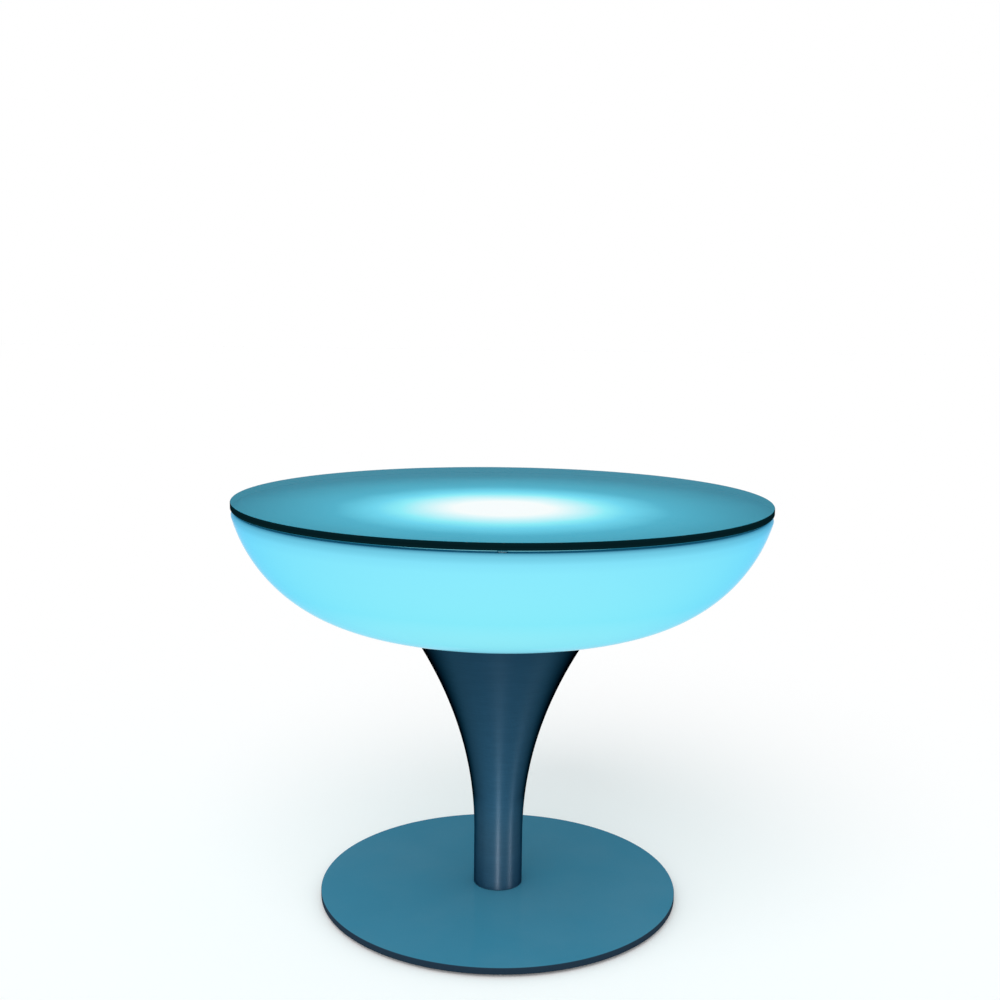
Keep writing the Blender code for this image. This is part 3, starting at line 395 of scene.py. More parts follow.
# %% Group: dust
FILM_SCALE = 9.0
SPECK_SCALE = 260.0

dust, given, out = start_group(
    "dust",
    [("Colour", "Color", WHITE), ("Dust colour", "Color", (0.55, 0.56, 0.56, 1.0)), ("Amount", "Float", 0.1)],
    [("Colour", "Color")],
)
up = along(dust, facing(dust), "Z")
where = object_place(dust)
film = between(dust, noise(dust, where, FILM_SCALE, 5.0), 0.4, 0.7)
specks = add(dust, "TexVoronoi", Vector=where, Scale=SPECK_SCALE).outputs["Distance"]
lying = maths(dust, "ADD", maths(dust, "MULTIPLY", film, 0.5), between(dust, specks, 0.12, 0.05))
mask = maths(dust, "MULTIPLY", lying, between(dust, up, 0.3, 0.95))
mask = maths(dust, "MULTIPLY", mask, given["Amount"], clamp=True)
feed(dust, out["Colour"], mixed(dust, mask, given["Colour"], given["Dust colour"]))
print("dust wired with", len(dust.nodes), "nodes")

# %% [markdown]
# Brush marks: steel that was brushed has fine streaks, long one way and short the other. A noise does that
# when its coordinates are squeezed. `Squeeze` says how often the marks repeat along X, Y and Z.

# %% Group: brush marks
brush_marks, given, out = start_group(
    "brush marks",
    [("Place", "Vector", (0.0, 0.0, 0.0)), ("Squeeze", "Vector", (300.0, 300.0, 4.0)),
     ("Colour", "Color", WHITE), ("Contrast", "Float", 0.2), ("Roughness", "Float", 0.3),
     ("Roughness spread", "Float", 0.1)],
    [("Colour", "Color"), ("Roughness", "Float"), ("Height", "Float")],
)
squeezed = vectors(brush_marks, "MULTIPLY", given["Place"], given["Squeeze"])
marks = noise(brush_marks, squeezed, 1.0, 6.0, Roughness=0.7)
offset = maths(brush_marks, "SUBTRACT", marks, 0.5)
shade = maths(brush_marks, "MULTIPLY_ADD", offset, given["Contrast"], 1.0)
rough = maths(brush_marks, "MULTIPLY_ADD", offset, given["Roughness spread"], given["Roughness"])
feed(brush_marks, out["Colour"], shaded(brush_marks, given["Colour"], shade))
feed(brush_marks, out["Roughness"], rough)
feed(brush_marks, out["Height"], marks)
print("brush marks wired with", len(brush_marks.nodes), "nodes")

# %% [markdown]
# Distance: the lamp sits in the middle, so its light falls off with the distance from the table's axis
# and with the depth under the rim. This group puts out both, for glass, bowl and diffuser alike.

# %% Group: distance from the lamp
LEVEL = (1.0, 1.0, 0.0)

distance, given, out = start_group(
    "distance",
    [("Lamp", "Vector", (0.0, 0.0, 0.0)), ("Reach", "Float", 0.3), ("Rim height", "Float", 0.45),
     ("Depth", "Float", 0.1)],
    [("From axis", "Float"), ("Below rim", "Float")],
)
where = object_place(distance)
from_lamp = vectors(distance, "SUBTRACT", where, given["Lamp"])
away = vectors(distance, "LENGTH", vectors(distance, "MULTIPLY", from_lamp, LEVEL), result="Value")
below = maths(distance, "SUBTRACT", given["Rim height"], along(distance, where, "Z"))
feed(distance, out["From axis"], maths(distance, "DIVIDE", away, given["Reach"]))
feed(distance, out["Below rim"], maths(distance, "DIVIDE", below, given["Depth"]))
print("distance wired with", len(distance.nodes), "nodes")

# %% [markdown]
# ## A material to start from
#
# Every finish below is one Principled shader with groups in front of it. `start_material` makes the
# shader, sets its plain numbers on its own sockets, and hands back the tree to wire into. `dress` wires a
# group's colour, roughness and height into the shader.

# %% Start a material
def start_material(name, **sockets):
    material = bpy.data.materials.new(name)
    material.use_nodes = True
    tree = material.node_tree
    shader = tree.nodes["Principled BSDF"]
    for socket_name, value in sockets.items():
        feed(tree, shader.inputs[socket_name.replace("_", " ")], value)
    return material, tree, shader


def dress(tree, shader, effect, depth=0.0, strength=0.0, colour=None):
    """A colour that is given takes the place of the group's own. Without a depth there is no bump."""
    feed(tree, shader.inputs["Base Color"], effect["Colour"] if colour is None else colour)
    feed(tree, shader.inputs["Roughness"], effect["Roughness"])
    if depth:
        raised = add(tree, "Bump", Height=effect["Height"], Distance=depth, Strength=strength)
        feed(tree, shader.inputs["Normal"], raised.outputs["Normal"])


print("material helpers ready")

# %% [markdown]
# ## Light that comes from inside
#
# A lit surface shows two things at once: studio light that its paint returns, and lamp light that comes
# through. The picture gives only their sum. So each colour below is written as it is seen, and `glow`
# takes away what the paint returns already. What is left is the Emission Color.

# %% Seen colour minus returned light
NO_PAINT = (0.0, 0.0, 0.0)


def glow(colour, paint, gloss=0.0, veil=NEUTRAL):
    parts = zip(seen(*colour), paint, veil)
    return tuple(max(0.0, (light - gloss) / passes - returned) for light, returned, passes in parts)


print("a lit pale blue needs", [round(light, 2) for light in glow((141, 236, 255), (0.06, 0.20, 0.25))])

# %% [markdown]
# ## The glass
#
# The top is a tinted glass with light under it: clear and polished above, and etched to a satin on its
# underside, where the lamp's light catches. The eye looks through the clear layer at the glow below it.
# Seen this flat, real glass would mirror the whole white studio and hide the glow. So the underside has
# the dark paint and the glow that falls off from the middle, and the upper face is a clear layer.
# Slow noise makes the glow a touch uneven, as an etched face is.

# %% Material: etched underside
GLASS_PAINT = (0.012, 0.060, 0.085)
GLASS_POLISH = 0.033
GLASS_GLOW_SEEN = [
    (0.00, (253, 255, 255)),
    (0.18, (251, 255, 254)),
    (0.38, (144, 238, 249)),
    (0.46, (115, 216, 240)),
    (0.61, (86, 178, 203)),
    (1.00, (67, 138, 160)),
]
# The painted glow's middle lies 34 mm in front of the table's axis, though the lamp sits on the axis.
PAINTED_GLOW_MIDDLE = (0.0, -0.034, 0.0)
SMEAR_SCALE = 14.0
SMEAR_SHIFT = 0.05

glass_low, glass_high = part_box("glass_top")
glass_radius = glass_high.x

lit_glass, tree, shader = start_material(
    "etched underside", Roughness=0.5, Specular_IOR_Level=0.0, Emission_Strength=1.0
)
away = place_group(tree, distance, Lamp=PAINTED_GLOW_MIDDLE, Reach=glass_radius)["From axis"]
smear = maths(tree, "SUBTRACT", noise(tree, object_place(tree), SMEAR_SCALE, 6.0), 0.5)
away = maths(tree, "MULTIPLY_ADD", smear, SMEAR_SHIFT, away)
stops = [(place, glow(colour, GLASS_PAINT, GLASS_POLISH)) for place, colour in GLASS_GLOW_SEEN]
feed(tree, shader.inputs["Emission Color"], ramp(tree, away, stops))
dress(tree, shader, place_group(
    tree, grain, Colour=GLASS_PAINT, Grains_per_metre=1500.0, Mottle=0.1, Roughness=0.5))
print("glass glow falls from", GLASS_GLOW_SEEN[0][1], "to", GLASS_GLOW_SEEN[-1][1])

# %% [markdown]
# The upper face lets everything through. Its index of refraction is 1, so it doesn't bend the view, and
# its polish is a thin Coat. The coat's own index is high and its weight low: that mirrors a little from
# every side, instead of nothing from above and everything at a flat angle.

# %% Material: polished upper face
CLEAR_GLASS = (0.98, 1.0, 1.0)
PALE_DUST = (0.80, 0.86, 0.88)

clear_face, tree, shader = start_material(
    "polished glass face", Roughness=0.0, IOR=1.0, Transmission_Weight=1.0, Coat_Weight=0.07, Coat_IOR=4.0,
    Coat_Roughness=0.02,
)
dusted = place_group(tree, dust, Colour=CLEAR_GLASS, Dust_colour=PALE_DUST, Amount=0.3)
feed(tree, shader.inputs["Base Color"], dusted["Colour"])
print("upper face made")

# %% [markdown]
# The ground edge of the glass is its darkest place: there the eye looks along the tint, not through it,
# and its near-black is painted shade as well. The green comes from the iron in ordinary glass. A faint
# painted glow lies on the edge, lighter along its top and bottom than in its middle. Fine grinding marks
# run round the edge.
# Seen from inside, through the clear upper face, the same edge shows the glow's own rim colour. Backfacing
# tells the two sides of a face apart.

# %% Material: ground glass edge
# A near-black tint with painted shade, and a faint painted glow along the edge.
EDGE_TINT_AND_SHADE = (0.0015, 0.008, 0.010)
EDGE_PAINTED_GLOW = [(0.0, (0.0005, 0.009, 0.011)), (0.5, (0.0003, 0.003, 0.004)), (1.0, (0.0005, 0.008, 0.011))]

glass_edge, tree, shader = start_material("ground glass edge", Specular_IOR_Level=0.0, Emission_Strength=1.0)
where = object_place(tree)
dress(tree, shader, place_group(
    tree, brush_marks, Place=where, Squeeze=(40.0, 40.0, 2500.0), Colour=EDGE_TINT_AND_SHADE, Contrast=0.6,
    Roughness=0.22, Roughness_spread=0.12), 0.0001, 0.2)
up_the_edge = between(tree, along(tree, where, "Z"), glass_low.z, glass_high.z)
inside = add(tree, "NewGeometry").outputs["Backfacing"]
rim_glow = glow(GLASS_GLOW_SEEN[-1][1], NO_PAINT, GLASS_POLISH)
shining = mixed(tree, inside, ramp(tree, up_the_edge, EDGE_PAINTED_GLOW), rim_glow)
feed(tree, shader.inputs["Emission Color"], shining)
print("glass edge is", round(1000 * (glass_high.z - glass_low.z), 1), "mm high")

# %% [markdown]
# ## The bowl
#
# The bowl is moulded in a milky plastic that spreads the lamp's light until it looks even. Real
# subsurface light would need a lamp inside and many samples. A glow that depends on the depth under the
# rim looks the same: the lip keeps part of the lamp's light off the first centimetre, so a soft darker
# band lies under the glass.
# In the narrow gap between lip and glass it is dark. The Ambient Occlusion node says how open the space
# over a point is, so the lip lights up by itself once the glass is lifted off.
# Where the wall is seen flat, its light has come through more plastic and is bluer. A Coat with a tint
# does that: it takes more colour away the flatter it is seen. Its index is close to 1, so that it mirrors
# the studio only at the very edge of the bowl, as a thin pale line.

# %% Material: glowing plastic
BOWL_PAINT = (0.035, 0.16, 0.20)
BOWL_VEIL = (0.75, 0.915, 0.985)
BOWL_GLOW_SEEN = [
    (0.00, (90, 168, 192)),
    (0.024, (111, 201, 226)),
    (0.08, (134, 229, 251)),
    (0.15, (141, 237, 255)),
    (0.55, (149, 244, 255)),
    (0.80, (184, 255, 255)),
    (1.00, (235, 255, 255)),
]
GAP_REACH = 0.010
GAP_GLOW = (0.0, 0.004, 0.008)
DARK_BELOW, LIT_ABOVE = 0.12, 0.28

bowl_low, bowl_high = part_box("bowl_shell")

lit_plastic, tree, shader = start_material(
    "glowing plastic", Specular_IOR_Level=0.1, Emission_Strength=1.0, Coat_Weight=1.0, Coat_IOR=1.025,
    Coat_Tint=BOWL_VEIL,
)
depth = place_group(tree, distance, Rim_height=bowl_high.z, Depth=bowl_high.z - bowl_low.z)["Below rim"]
stops = [(place, glow(colour, BOWL_PAINT, 0.0, BOWL_VEIL)) for place, colour in BOWL_GLOW_SEEN]
open_share = add(tree, "AmbientOcclusion", {"samples": 8}, Distance=GAP_REACH).outputs["AO"]
lit_share = between(tree, open_share, DARK_BELOW, LIT_ABOVE)
feed(tree, shader.inputs["Emission Color"], mixed(tree, lit_share, GAP_GLOW, ramp(tree, depth, stops)))
dress(tree, shader, place_group(
    tree, grain, Colour=BOWL_PAINT, Grains_per_metre=1400.0, Mottle=0.06, Roughness=0.5,
    Roughness_spread=0.1), 0.0002, 0.15)
print("bowl is", round(1000 * (bowl_high.z - bowl_low.z)), "mm deep")

# %% [markdown]
# ## The column
#
# The column is spun steel. Its dark blue colour and its darker sides are painted reflection: they stand
# in for dark, blue-lit surroundings mirrored in the steel. Spinning leaves fine rings round it, and fine
# marks draw a highlight out across themselves: here up and down, into thin upright lines. Anisotropic with
# a radial tangent does that. The rings come from a noise that is squeezed along the height; round the
# column it goes by the direction from the axis instead of the place, so the rings look alike at mouth and
# foot. A metal's Base Color is how much of each light it mirrors. A Coat with an index of 1 only tints: the
# flatter the wall is seen, the longer the way through the coat and the darker the steel, which paints the
# shade on the sides. The coat is full in the flare and light at the foot, where the steel colour is
# darker, so the foot's sides stay lighter.

# %% Material: spun column steel
# Steel colours that carry painted reflection; the coat tint below paints the shade on the sides.
FLARE_STEEL_REFLECTION = seen(90, 160, 199)
FOOT_STEEL_REFLECTION = seen(67, 109, 134)
SIDE_SHADE_TINT = (0.40, 0.40, 0.41)
FOOT_SIDE_SHADE = 0.2
FOOT_UP_TO, FLARE_FROM = 0.05, 0.12

column_low, column_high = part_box("column_shell")

column_steel, tree, shader = start_material(
    "spun column steel", Metallic=1.0, Specular_Tint=(0.15, 0.25, 0.30), Anisotropic=0.8,
    Anisotropic_Rotation=0.25, Coat_IOR=1.0, Coat_Tint=SIDE_SHADE_TINT,
)
tangent = add(tree, "Tangent", {"direction_type": "RADIAL", "axis": "Z"})
feed(tree, shader.inputs["Tangent"], tangent.outputs["Tangent"])
where = object_place(tree)
height = along(tree, where, "Z")
outwards = add(
    tree, "SeparateXYZ", Vector=vectors(tree, "NORMALIZE", vectors(tree, "MULTIPLY", where, LEVEL))
).outputs
unrolled = add(tree, "CombineXYZ", X=outwards["X"], Y=outwards["Y"], Z=height).outputs["Vector"]
# The coat's painted side shade grows from the foot up into the flare.
thick = between(tree, height, FOOT_UP_TO, FLARE_FROM)
feed(tree, shader.inputs["Coat Weight"], between(tree, thick, 0.0, 1.0, FOOT_SIDE_SHADE, 1.0))
steel = mixed(tree, maths(tree, "POWER", thick, 2.0), FOOT_STEEL_REFLECTION, FLARE_STEEL_REFLECTION)
dress(tree, shader, place_group(
    tree, brush_marks, Place=unrolled, Squeeze=(2.5, 2.5, 700.0), Colour=steel, Contrast=0.35,
    Roughness=0.36, Roughness_spread=0.12), 0.0001, 0.08)
print("column steel returns", [round(part, 3) for part in FLARE_STEEL_REFLECTION], "in the flare")

# %% [markdown]
# ## The base plate
#
# The base is steel under a hard coating in the same blue, and that blue is partly painted light: the
# cyan that the bowl throws on the plate. A coating is two layers, and the Principled shader has both: a
# matt colour below and a thin clear Coat on top, which mirrors the column's foot. The cut edge is painted
# darker, as painted shade, because it faces away from the light above. Which way the surface faces says
# where that is: the edge is where it doesn't face up.

# %% Material: coated base steel
# A coating blue with painted cyan light from the bowl, and a painted shade colour for the edge.
BASE_PAINT_AND_CYAN_LIGHT = seen(58, 126, 153)
BASE_EDGE_PAINTED_SHADE = seen(36, 54, 70)
BARE_BASE_STEEL = (0.10, 0.16, 0.19)

base_coating, tree, shader = start_material(
    "coated base steel", Specular_IOR_Level=0.0, Coat_Weight=0.05, Coat_Roughness=0.10
)
on_top = between(tree, along(tree, facing(tree), "Z"), 0.45, 0.85)
skin = place_group(
    tree, grain, Colour=mixed(tree, on_top, BASE_EDGE_PAINTED_SHADE, BASE_PAINT_AND_CYAN_LIGHT), Grains_per_metre=900.0, Mottle=0.05,
    Roughness=0.5, Roughness_spread=0.1,
)
rubbed = place_group(
    tree, worn_edges, Colour=skin["Colour"], Worn_colour=BARE_BASE_STEEL, Width=0.0008, Amount=0.3
)
dusted = place_group(tree, dust, Colour=rubbed["Colour"], Amount=0.05)
dress(tree, shader, skin, 0.0001, 0.08, dusted["Colour"])
print("base paint:", [round(part, 3) for part in BASE_PAINT_AND_CYAN_LIGHT])

# %% [markdown]
# ## Plain metals
#
# The welded discs and the clamp plate are mild steel with rolling marks along one way. The screws are
# zinc plated: paler, with the cloudy patches that a zinc bath leaves.

# %% Materials: plain steel and zinc
RUBBED_BRIGHT = (0.75, 0.75, 0.74)
WEAR_WIDTH = 0.0004


def metal(name, colour, roughness, squeeze, contrast):
    material, tree, shader = start_material(name, Metallic=1.0)
    marked = place_group(
        tree, brush_marks, Place=object_place(tree), Squeeze=squeeze, Colour=colour, Contrast=contrast,
        Roughness=roughness, Roughness_spread=0.2,
    )
    rubbed = place_group(
        tree, worn_edges, Colour=marked["Colour"], Worn_colour=RUBBED_BRIGHT, Width=WEAR_WIDTH, Amount=0.5
    )
    dress(tree, shader, marked, 0.0001, 0.15, rubbed["Colour"])
    print(name, "made")
    return material


plain_steel = metal("plain steel", (0.36, 0.37, 0.38), 0.38, squeeze=(12.0, 600.0, 600.0), contrast=0.35)
zinc = metal("zinc plate", (0.56, 0.58, 0.60), 0.30, squeeze=(180.0, 180.0, 180.0), contrast=0.30)

# %% [markdown]
# ## Plastics and rubber
#
# The white case, the black holder, the grey button and the rubber pads are all the same kind of finish:
# a colour, a grain and a shine. One function makes them, and each call says how coarse and how dull.

# %% Materials: moulded pieces
def moulded(name, colour, worn, roughness=0.42, grains=2600, mottle=0.05, depth=0.0001, wear=0.4, **sockets):
    material, tree, shader = start_material(name, **sockets)
    skin = place_group(
        tree, grain, Colour=colour, Grains_per_metre=grains, Mottle=mottle, Roughness=roughness,
        Roughness_spread=0.15,
    )
    rubbed = place_group(
        tree, worn_edges, Colour=skin["Colour"], Worn_colour=worn, Width=WEAR_WIDTH, Amount=wear
    )
    dusted = place_group(tree, dust, Colour=rubbed["Colour"], Amount=0.08)
    dress(tree, shader, skin, depth, 0.3, dusted["Colour"])
    print(name, "made")
    return material


white_plastic = moulded("white plastic", (0.70, 0.73, 0.74), (0.80, 0.82, 0.82))
black_plastic = moulded("black plastic", (0.018, 0.018, 0.020), (0.08, 0.08, 0.08), mottle=0.2)
button_grey = moulded(
    "grey button", (0.28, 0.30, 0.31), (0.45, 0.46, 0.46), roughness=0.45, grains=4000, mottle=0.1, wear=0.5
)
rubber = moulded(
    "black rubber", (0.020, 0.020, 0.022), (0.06, 0.06, 0.06), roughness=0.75, grains=1500, mottle=0.3,
    depth=0.0002, wear=0.3,
)
silicone = moulded(
    "clear silicone", (0.42, 0.62, 0.68), (0.60, 0.80, 0.84), roughness=0.30, grains=1200, wear=0.3,
    Transmission_Weight=0.7, IOR=1.41,
)

# %% [markdown]
# ## The diffuser and the LEDs
#
# The dome over the LEDs is opal plastic, the brightest thing in the bowl: white in the middle and blue
# at its foot. Each LED is a white square with a yellow lens on top. The lens is the highest part, and that
# tells the material where to change.

# %% Material: opal dome
OPAL_PAINT = (0.25, 0.38, 0.40)
DOME_GLOW = [
    (0.00, (0.54, 0.60, 0.60)),
    (0.55, (0.34, 0.56, 0.60)),
    (0.85, (0.18, 0.46, 0.54)),
    (1.00, (0.08, 0.30, 0.38)),
]

dome_low, dome_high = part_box("diffuser_dome")

opal, tree, shader = start_material("opal diffuser", Specular_IOR_Level=0.4, Emission_Strength=1.0)
away = place_group(tree, distance, Reach=dome_high.x)["From axis"]
feed(tree, shader.inputs["Emission Color"], ramp(tree, away, DOME_GLOW))
dress(tree, shader, place_group(
    tree, grain, Colour=OPAL_PAINT, Grains_per_metre=2000.0, Mottle=0.04, Roughness=0.3), 0.0001, 0.1)
print("dome is", round(2000 * dome_high.x), "mm across")

# %% Material: LEDs
LED_WHITE = (0.78, 0.79, 0.78)
LENS_YELLOW = (0.80, 0.66, 0.12)
LENS_GLOW = (0.55, 0.85, 0.95)
LENS_STARTS, LENS_FULL = 0.0004, 0.0002

led_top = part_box("led_1")[1].z

led, tree, shader = start_material("LED", Roughness=0.3, Emission_Strength=1.0)
lens = between(tree, along(tree, object_place(tree), "Z"), led_top - LENS_STARTS, led_top - LENS_FULL)
case = place_group(tree, grain, Colour=LED_WHITE, Grains_per_metre=3000.0, Roughness=0.35)
dress(tree, shader, case, colour=mixed(tree, lens, case["Colour"], LENS_YELLOW))
feed(tree, shader.inputs["Emission Color"], mixed(tree, lens, NO_PAINT, LENS_GLOW))
print("the lens starts", round(1000 * LENS_STARTS, 1), "mm under an LED's top")

# %% [markdown]
# ## Circuit boards
#
# A circuit board is glass fibre under a coloured lacquer, and the copper tracks stand out a little, paler
# than the rest. A brick pattern gives long straight tracks that turn at right angles.

# %% Materials: boards
TRACK_WIDTH = 0.00035
TRACK_LENGTH = 0.0075
TRACK_SPACING = 0.0023


def board(name, lacquer, track, roughness):
    material, tree, shader = start_material(name, Specular_IOR_Level=0.5)
    tracks = add(
        tree, "TexBrick", {"offset": 0.37}, Vector=object_place(tree), Scale=1.0, Mortar_Size=TRACK_WIDTH,
        Brick_Width=TRACK_LENGTH, Row_Height=TRACK_SPACING,
    ).outputs["Fac"]
    base = place_group(tree, grain, Colour=lacquer, Grains_per_metre=1800.0, Mottle=0.15, Roughness=roughness)
    raised = {"Roughness": base["Roughness"], "Height": tracks}
    dress(tree, shader, raised, 0.00005, 0.4, mixed(tree, tracks, base["Colour"], track))
    print(name, "made")
    return material


green_board = board("green circuit board", (0.012, 0.12, 0.050), track=(0.05, 0.26, 0.11), roughness=0.32)
white_board = board("white LED board", (0.74, 0.75, 0.74), track=(0.62, 0.64, 0.63), roughness=0.40)

# %% [markdown]
# ## Battery cells
#
# A cell is a steel can in a shrunk sleeve. The sleeve wraps the side and the steel shows at both ends, so
# the way that the surface faces says which is which: the ends face along Y, the way that the cells lie.

# %% Material: sleeved cell
SLEEVE_BLUE = (0.035, 0.17, 0.42)
CAN_STEEL = (0.60, 0.61, 0.62)

cell_sleeve, tree, shader = start_material("sleeved cell")
bare = between(tree, maths(tree, "ABSOLUTE", along(tree, facing(tree), "Y")), 0.80, 0.90)
wrap = place_group(
    tree, grain, Colour=SLEEVE_BLUE, Grains_per_metre=1200.0, Mottle=0.12, Roughness=0.33,
    Roughness_spread=0.08,
)
can = place_group(
    tree, brush_marks, Place=object_place(tree), Squeeze=(400.0, 60.0, 400.0), Colour=CAN_STEEL, Contrast=0.3,
    Roughness=0.3, Roughness_spread=0.1,
)
dress(tree, shader, wrap, 0.0001, 0.15, mixed(tree, bare, wrap["Colour"], can["Colour"]))
feed(tree, shader.inputs["Metallic"], bare)
print("cell sleeve made")

# %% [markdown]
# ## Small things
#
# Wires are soft plastic. The eye for the remote control is almost black to us but clear to it, and the
# charging light is a clear pin. All are glossy and small, so a grain and a shine are enough.

# %% Materials: leads, lens and light pipe
def lead(name, colour):
    return moulded(name, colour, colour, grains=3000, mottle=0.15, wear=0.0)


red_lead = lead("red lead", (0.52, 0.018, 0.018))
black_lead = lead("black lead", (0.014, 0.014, 0.015))
white_lead = lead("white lead", (0.70, 0.70, 0.68))
dark_lens = moulded(
    "dark eye lens", (0.045, 0.006, 0.010), (0.08, 0.02, 0.02), roughness=0.12, grains=3000, mottle=0.1,
    depth=0.00005, wear=0.2, Coat_Weight=0.5,
)
clear_plastic = moulded(
    "clear light pipe", (0.70, 0.82, 0.82), (0.85, 0.92, 0.92), roughness=0.12, grains=3000, mottle=0.03,
    depth=0.00005, wear=0.3, Transmission_Weight=0.6, IOR=1.49,
)

# %% [markdown]
# ## Dress the pieces that keep their CAD shape
#
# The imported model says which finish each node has, by the name of its material slot. Here every slot gets
# the material that was made for it. A node whose shape is made finer later is hidden then.

# %% Give every CAD node its finish
FINISHES = {
    "glass": lit_glass, "silicone": silicone, "lit_plastic": lit_plastic, "spun_steel": column_steel,
    "plain_steel": plain_steel, "zinc": zinc, "base_coating": base_coating, "rubber": rubber,
    "white_plastic": white_plastic, "opal": opal, "board_green": green_board, "board_white": white_board,
    "emitter": led, "cell_wrap": cell_sleeve, "black_plastic": black_plastic, "button_grey": button_grey,
    "red_lead": red_lead, "black_lead": black_lead, "white_lead": white_lead, "dark_lens": dark_lens,
    "clear_plastic": clear_plastic,
}

dressed = 0
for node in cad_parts.values():
    for slot in node.material_slots:
        slot.material = FINISHES[slot.material.name.split(".")[0]]
        dressed += 1
print("slots dressed:", dressed)

# %% [markdown]
# ## Turning
#
# Glass, bowl, column, base and most small pieces were turned, spun or ground on a machine that spins. Such
# a shape is an outline swept about an axis. A Screw modifier would do it. Making the rings in mesh code
# keeps every ring in hand, and lets a ring be a hexagon where a screw head needs one.
# An outline is a list of (radius, height) points that goes round the material. A third number makes that
# ring a polygon with so many flats, measured across them.

# %% Turn an outline about an axis
SMOOTH_UP_TO = math.radians(32)


def reach(point, angle):
    if len(point) < 3:
        return point[0]
    flat = math.tau / point[2]
    return point[0] / 2 / math.cos(angle % flat - flat / 2)


def smooth_mesh(name, bm):
    """Round surfaces look round, and edges sharper than SMOOTH_UP_TO stay sharp."""
    bmesh.ops.recalc_face_normals(bm, faces=bm.faces)
    mesh = bpy.data.meshes.new(name)
    bm.to_mesh(mesh)
    bm.free()
    mesh.shade_smooth()
    mesh.set_sharp_from_angle(angle=SMOOTH_UP_TO)
    return mesh


def turned_mesh(name, outline, sides):
    bm = bmesh.new()
    turns = [math.tau * side / sides for side in range(sides)]
    rings = []
    for point in outline:
        if point[0] == 0:
            rings.append([bm.verts.new((0, 0, point[1]))])
            continue
        ring = [(reach(point, turn) * math.cos(turn), reach(point, turn) * math.sin(turn)) for turn in turns]
        rings.append([bm.verts.new((x, y, point[1])) for x, y in ring])
    for ring, following in zip(rings, rings[1:] + rings[:1]):
        for side in range(sides):
            after = (side + 1) % sides
            if len(ring) == 1 and len(following) == 1:
                continue
            if len(ring) == 1:
                bm.faces.new((ring[0], following[side], following[after]))
            elif len(following) == 1:
                bm.faces.new((ring[side], following[0], ring[after]))
            else:
                bm.faces.new((ring[side], following[side], following[after], ring[after]))
    return smooth_mesh(name, bm)


def show(name, mesh, slot, stands_for, at=(0, 0, 0), body="table"):
    """Puts a mesh in the scene in place of a CAD node, with the finish that belongs to its slot."""
    mesh.transform(Matrix.Translation(at))
    if not mesh.materials:
        mesh.materials.append(FINISHES[slot])
    piece = bpy.data.objects.new(name, mesh)
    bpy.context.collection.objects.link(piece)
    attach(piece, body)
    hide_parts(stands_for)
    return piece


print("turning ready")

# %% [markdown]
# No real corner is perfectly sharp, and it is the rounded corner that catches the light. `rounded` puts
# an arc in each corner of an outline. It gets one radius for each point, and 0 leaves that point alone.

# %% Round the corners of an outline
def rounded(outline, radii, steps=4):
    result = []
    for index, (corner, radius) in enumerate(zip(outline, radii)):
        if radius == 0:
            result.append(tuple(corner))
            continue
        here = Vector(corner[:2])
        to_last = (Vector(outline[index - 1][:2]) - here).normalized()
        to_next = (Vector(outline[(index + 1) % len(outline)][:2]) - here).normalized()
        half = to_last.angle(to_next) / 2
        centre = here + (to_last + to_next).normalized() * radius / math.sin(half)
        first = here + to_last * radius / math.tan(half) - centre
        last = here + to_next * radius / math.tan(half) - centre
        for step in range(steps + 1):
            result.append(tuple(centre + first.lerp(last, step / steps).normalized() * radius))
    return result


def disc(radius, bottom, top, edge, steps=4):
    corners = [(0, bottom), (radius, bottom), (radius, top), (0, top)]
    return rounded(corners, [0, edge, edge, 0], steps)


print("a rounded disc has", len(disc(1, 0, 1, 0.1)), "outline points")

# %% [markdown]
# ## The glass disc
#
# A glass top is cut, its edge is ground to a half round or to two small bevels, and then it is hardened.
# This one has small round bevels. Upper face, underside and the band between them get a material each,
# chosen by which way each face of the mesh looks.

# %% Glass
GLASS_SIDES = 256
GLASS_EDGE = 0.0014
LIES_FLAT = 0.8

glass_outline = disc(glass_radius, glass_low.z, glass_high.z, GLASS_EDGE)
glass_mesh = turned_mesh("tempered_glass", glass_outline, GLASS_SIDES)
for material in (clear_face, lit_glass, glass_edge):
    glass_mesh.materials.append(material)
for face in glass_mesh.polygons:
    face.material_index = 0 if face.normal.z > LIES_FLAT else 1 if face.normal.z < -LIES_FLAT else 2
show("tempered_glass", glass_mesh, "glass", "glass_top", body="glass")
print("glass:", len(glass_mesh.polygons), "faces")

# %% [markdown]
# ## The bumpers
#
# Six clear silicone drops keep the glass off the bowl. They are sold as domed stick-on pads: flat below,
# rounded above, pressed a little flat by the weight of the glass.

# %% Bumpers
BUMPER_EDGES = (0.0003, 0.0014)

for index in range(1, 7):
    low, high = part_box(f"glass_bumper_{index}")
    middle = (low + high) / 2
    radius = (high.x - low.x) / 2
    tall = high.z - low.z
    pad_outline = rounded([(0, 0), (radius, 0), (radius, tall), (0, tall)], [0, *BUMPER_EDGES, 0], 6)
    pad = turned_mesh(f"clear_bumper_{index}", pad_outline, 40)
    show(f"clear_bumper_{index}", pad, "silicone", f"glass_bumper_{index}", (middle.x, middle.y, low.z))
print("bumper radius", round(1000 * radius, 1), "mm")

# %% [markdown]
# ## The bowl
#
# The bowl's outline is two arcs that meet without a corner: a tight one for the side and a very wide one
# for the floor. An arc is easiest to write by the slope of its tangent, which is 0 where it is flat and a
# quarter turn where it stands upright.
# The edge is rounded, then a flat lip turns inwards to carry the bumpers. Inside, the wall follows the
# outside at a constant thickness.

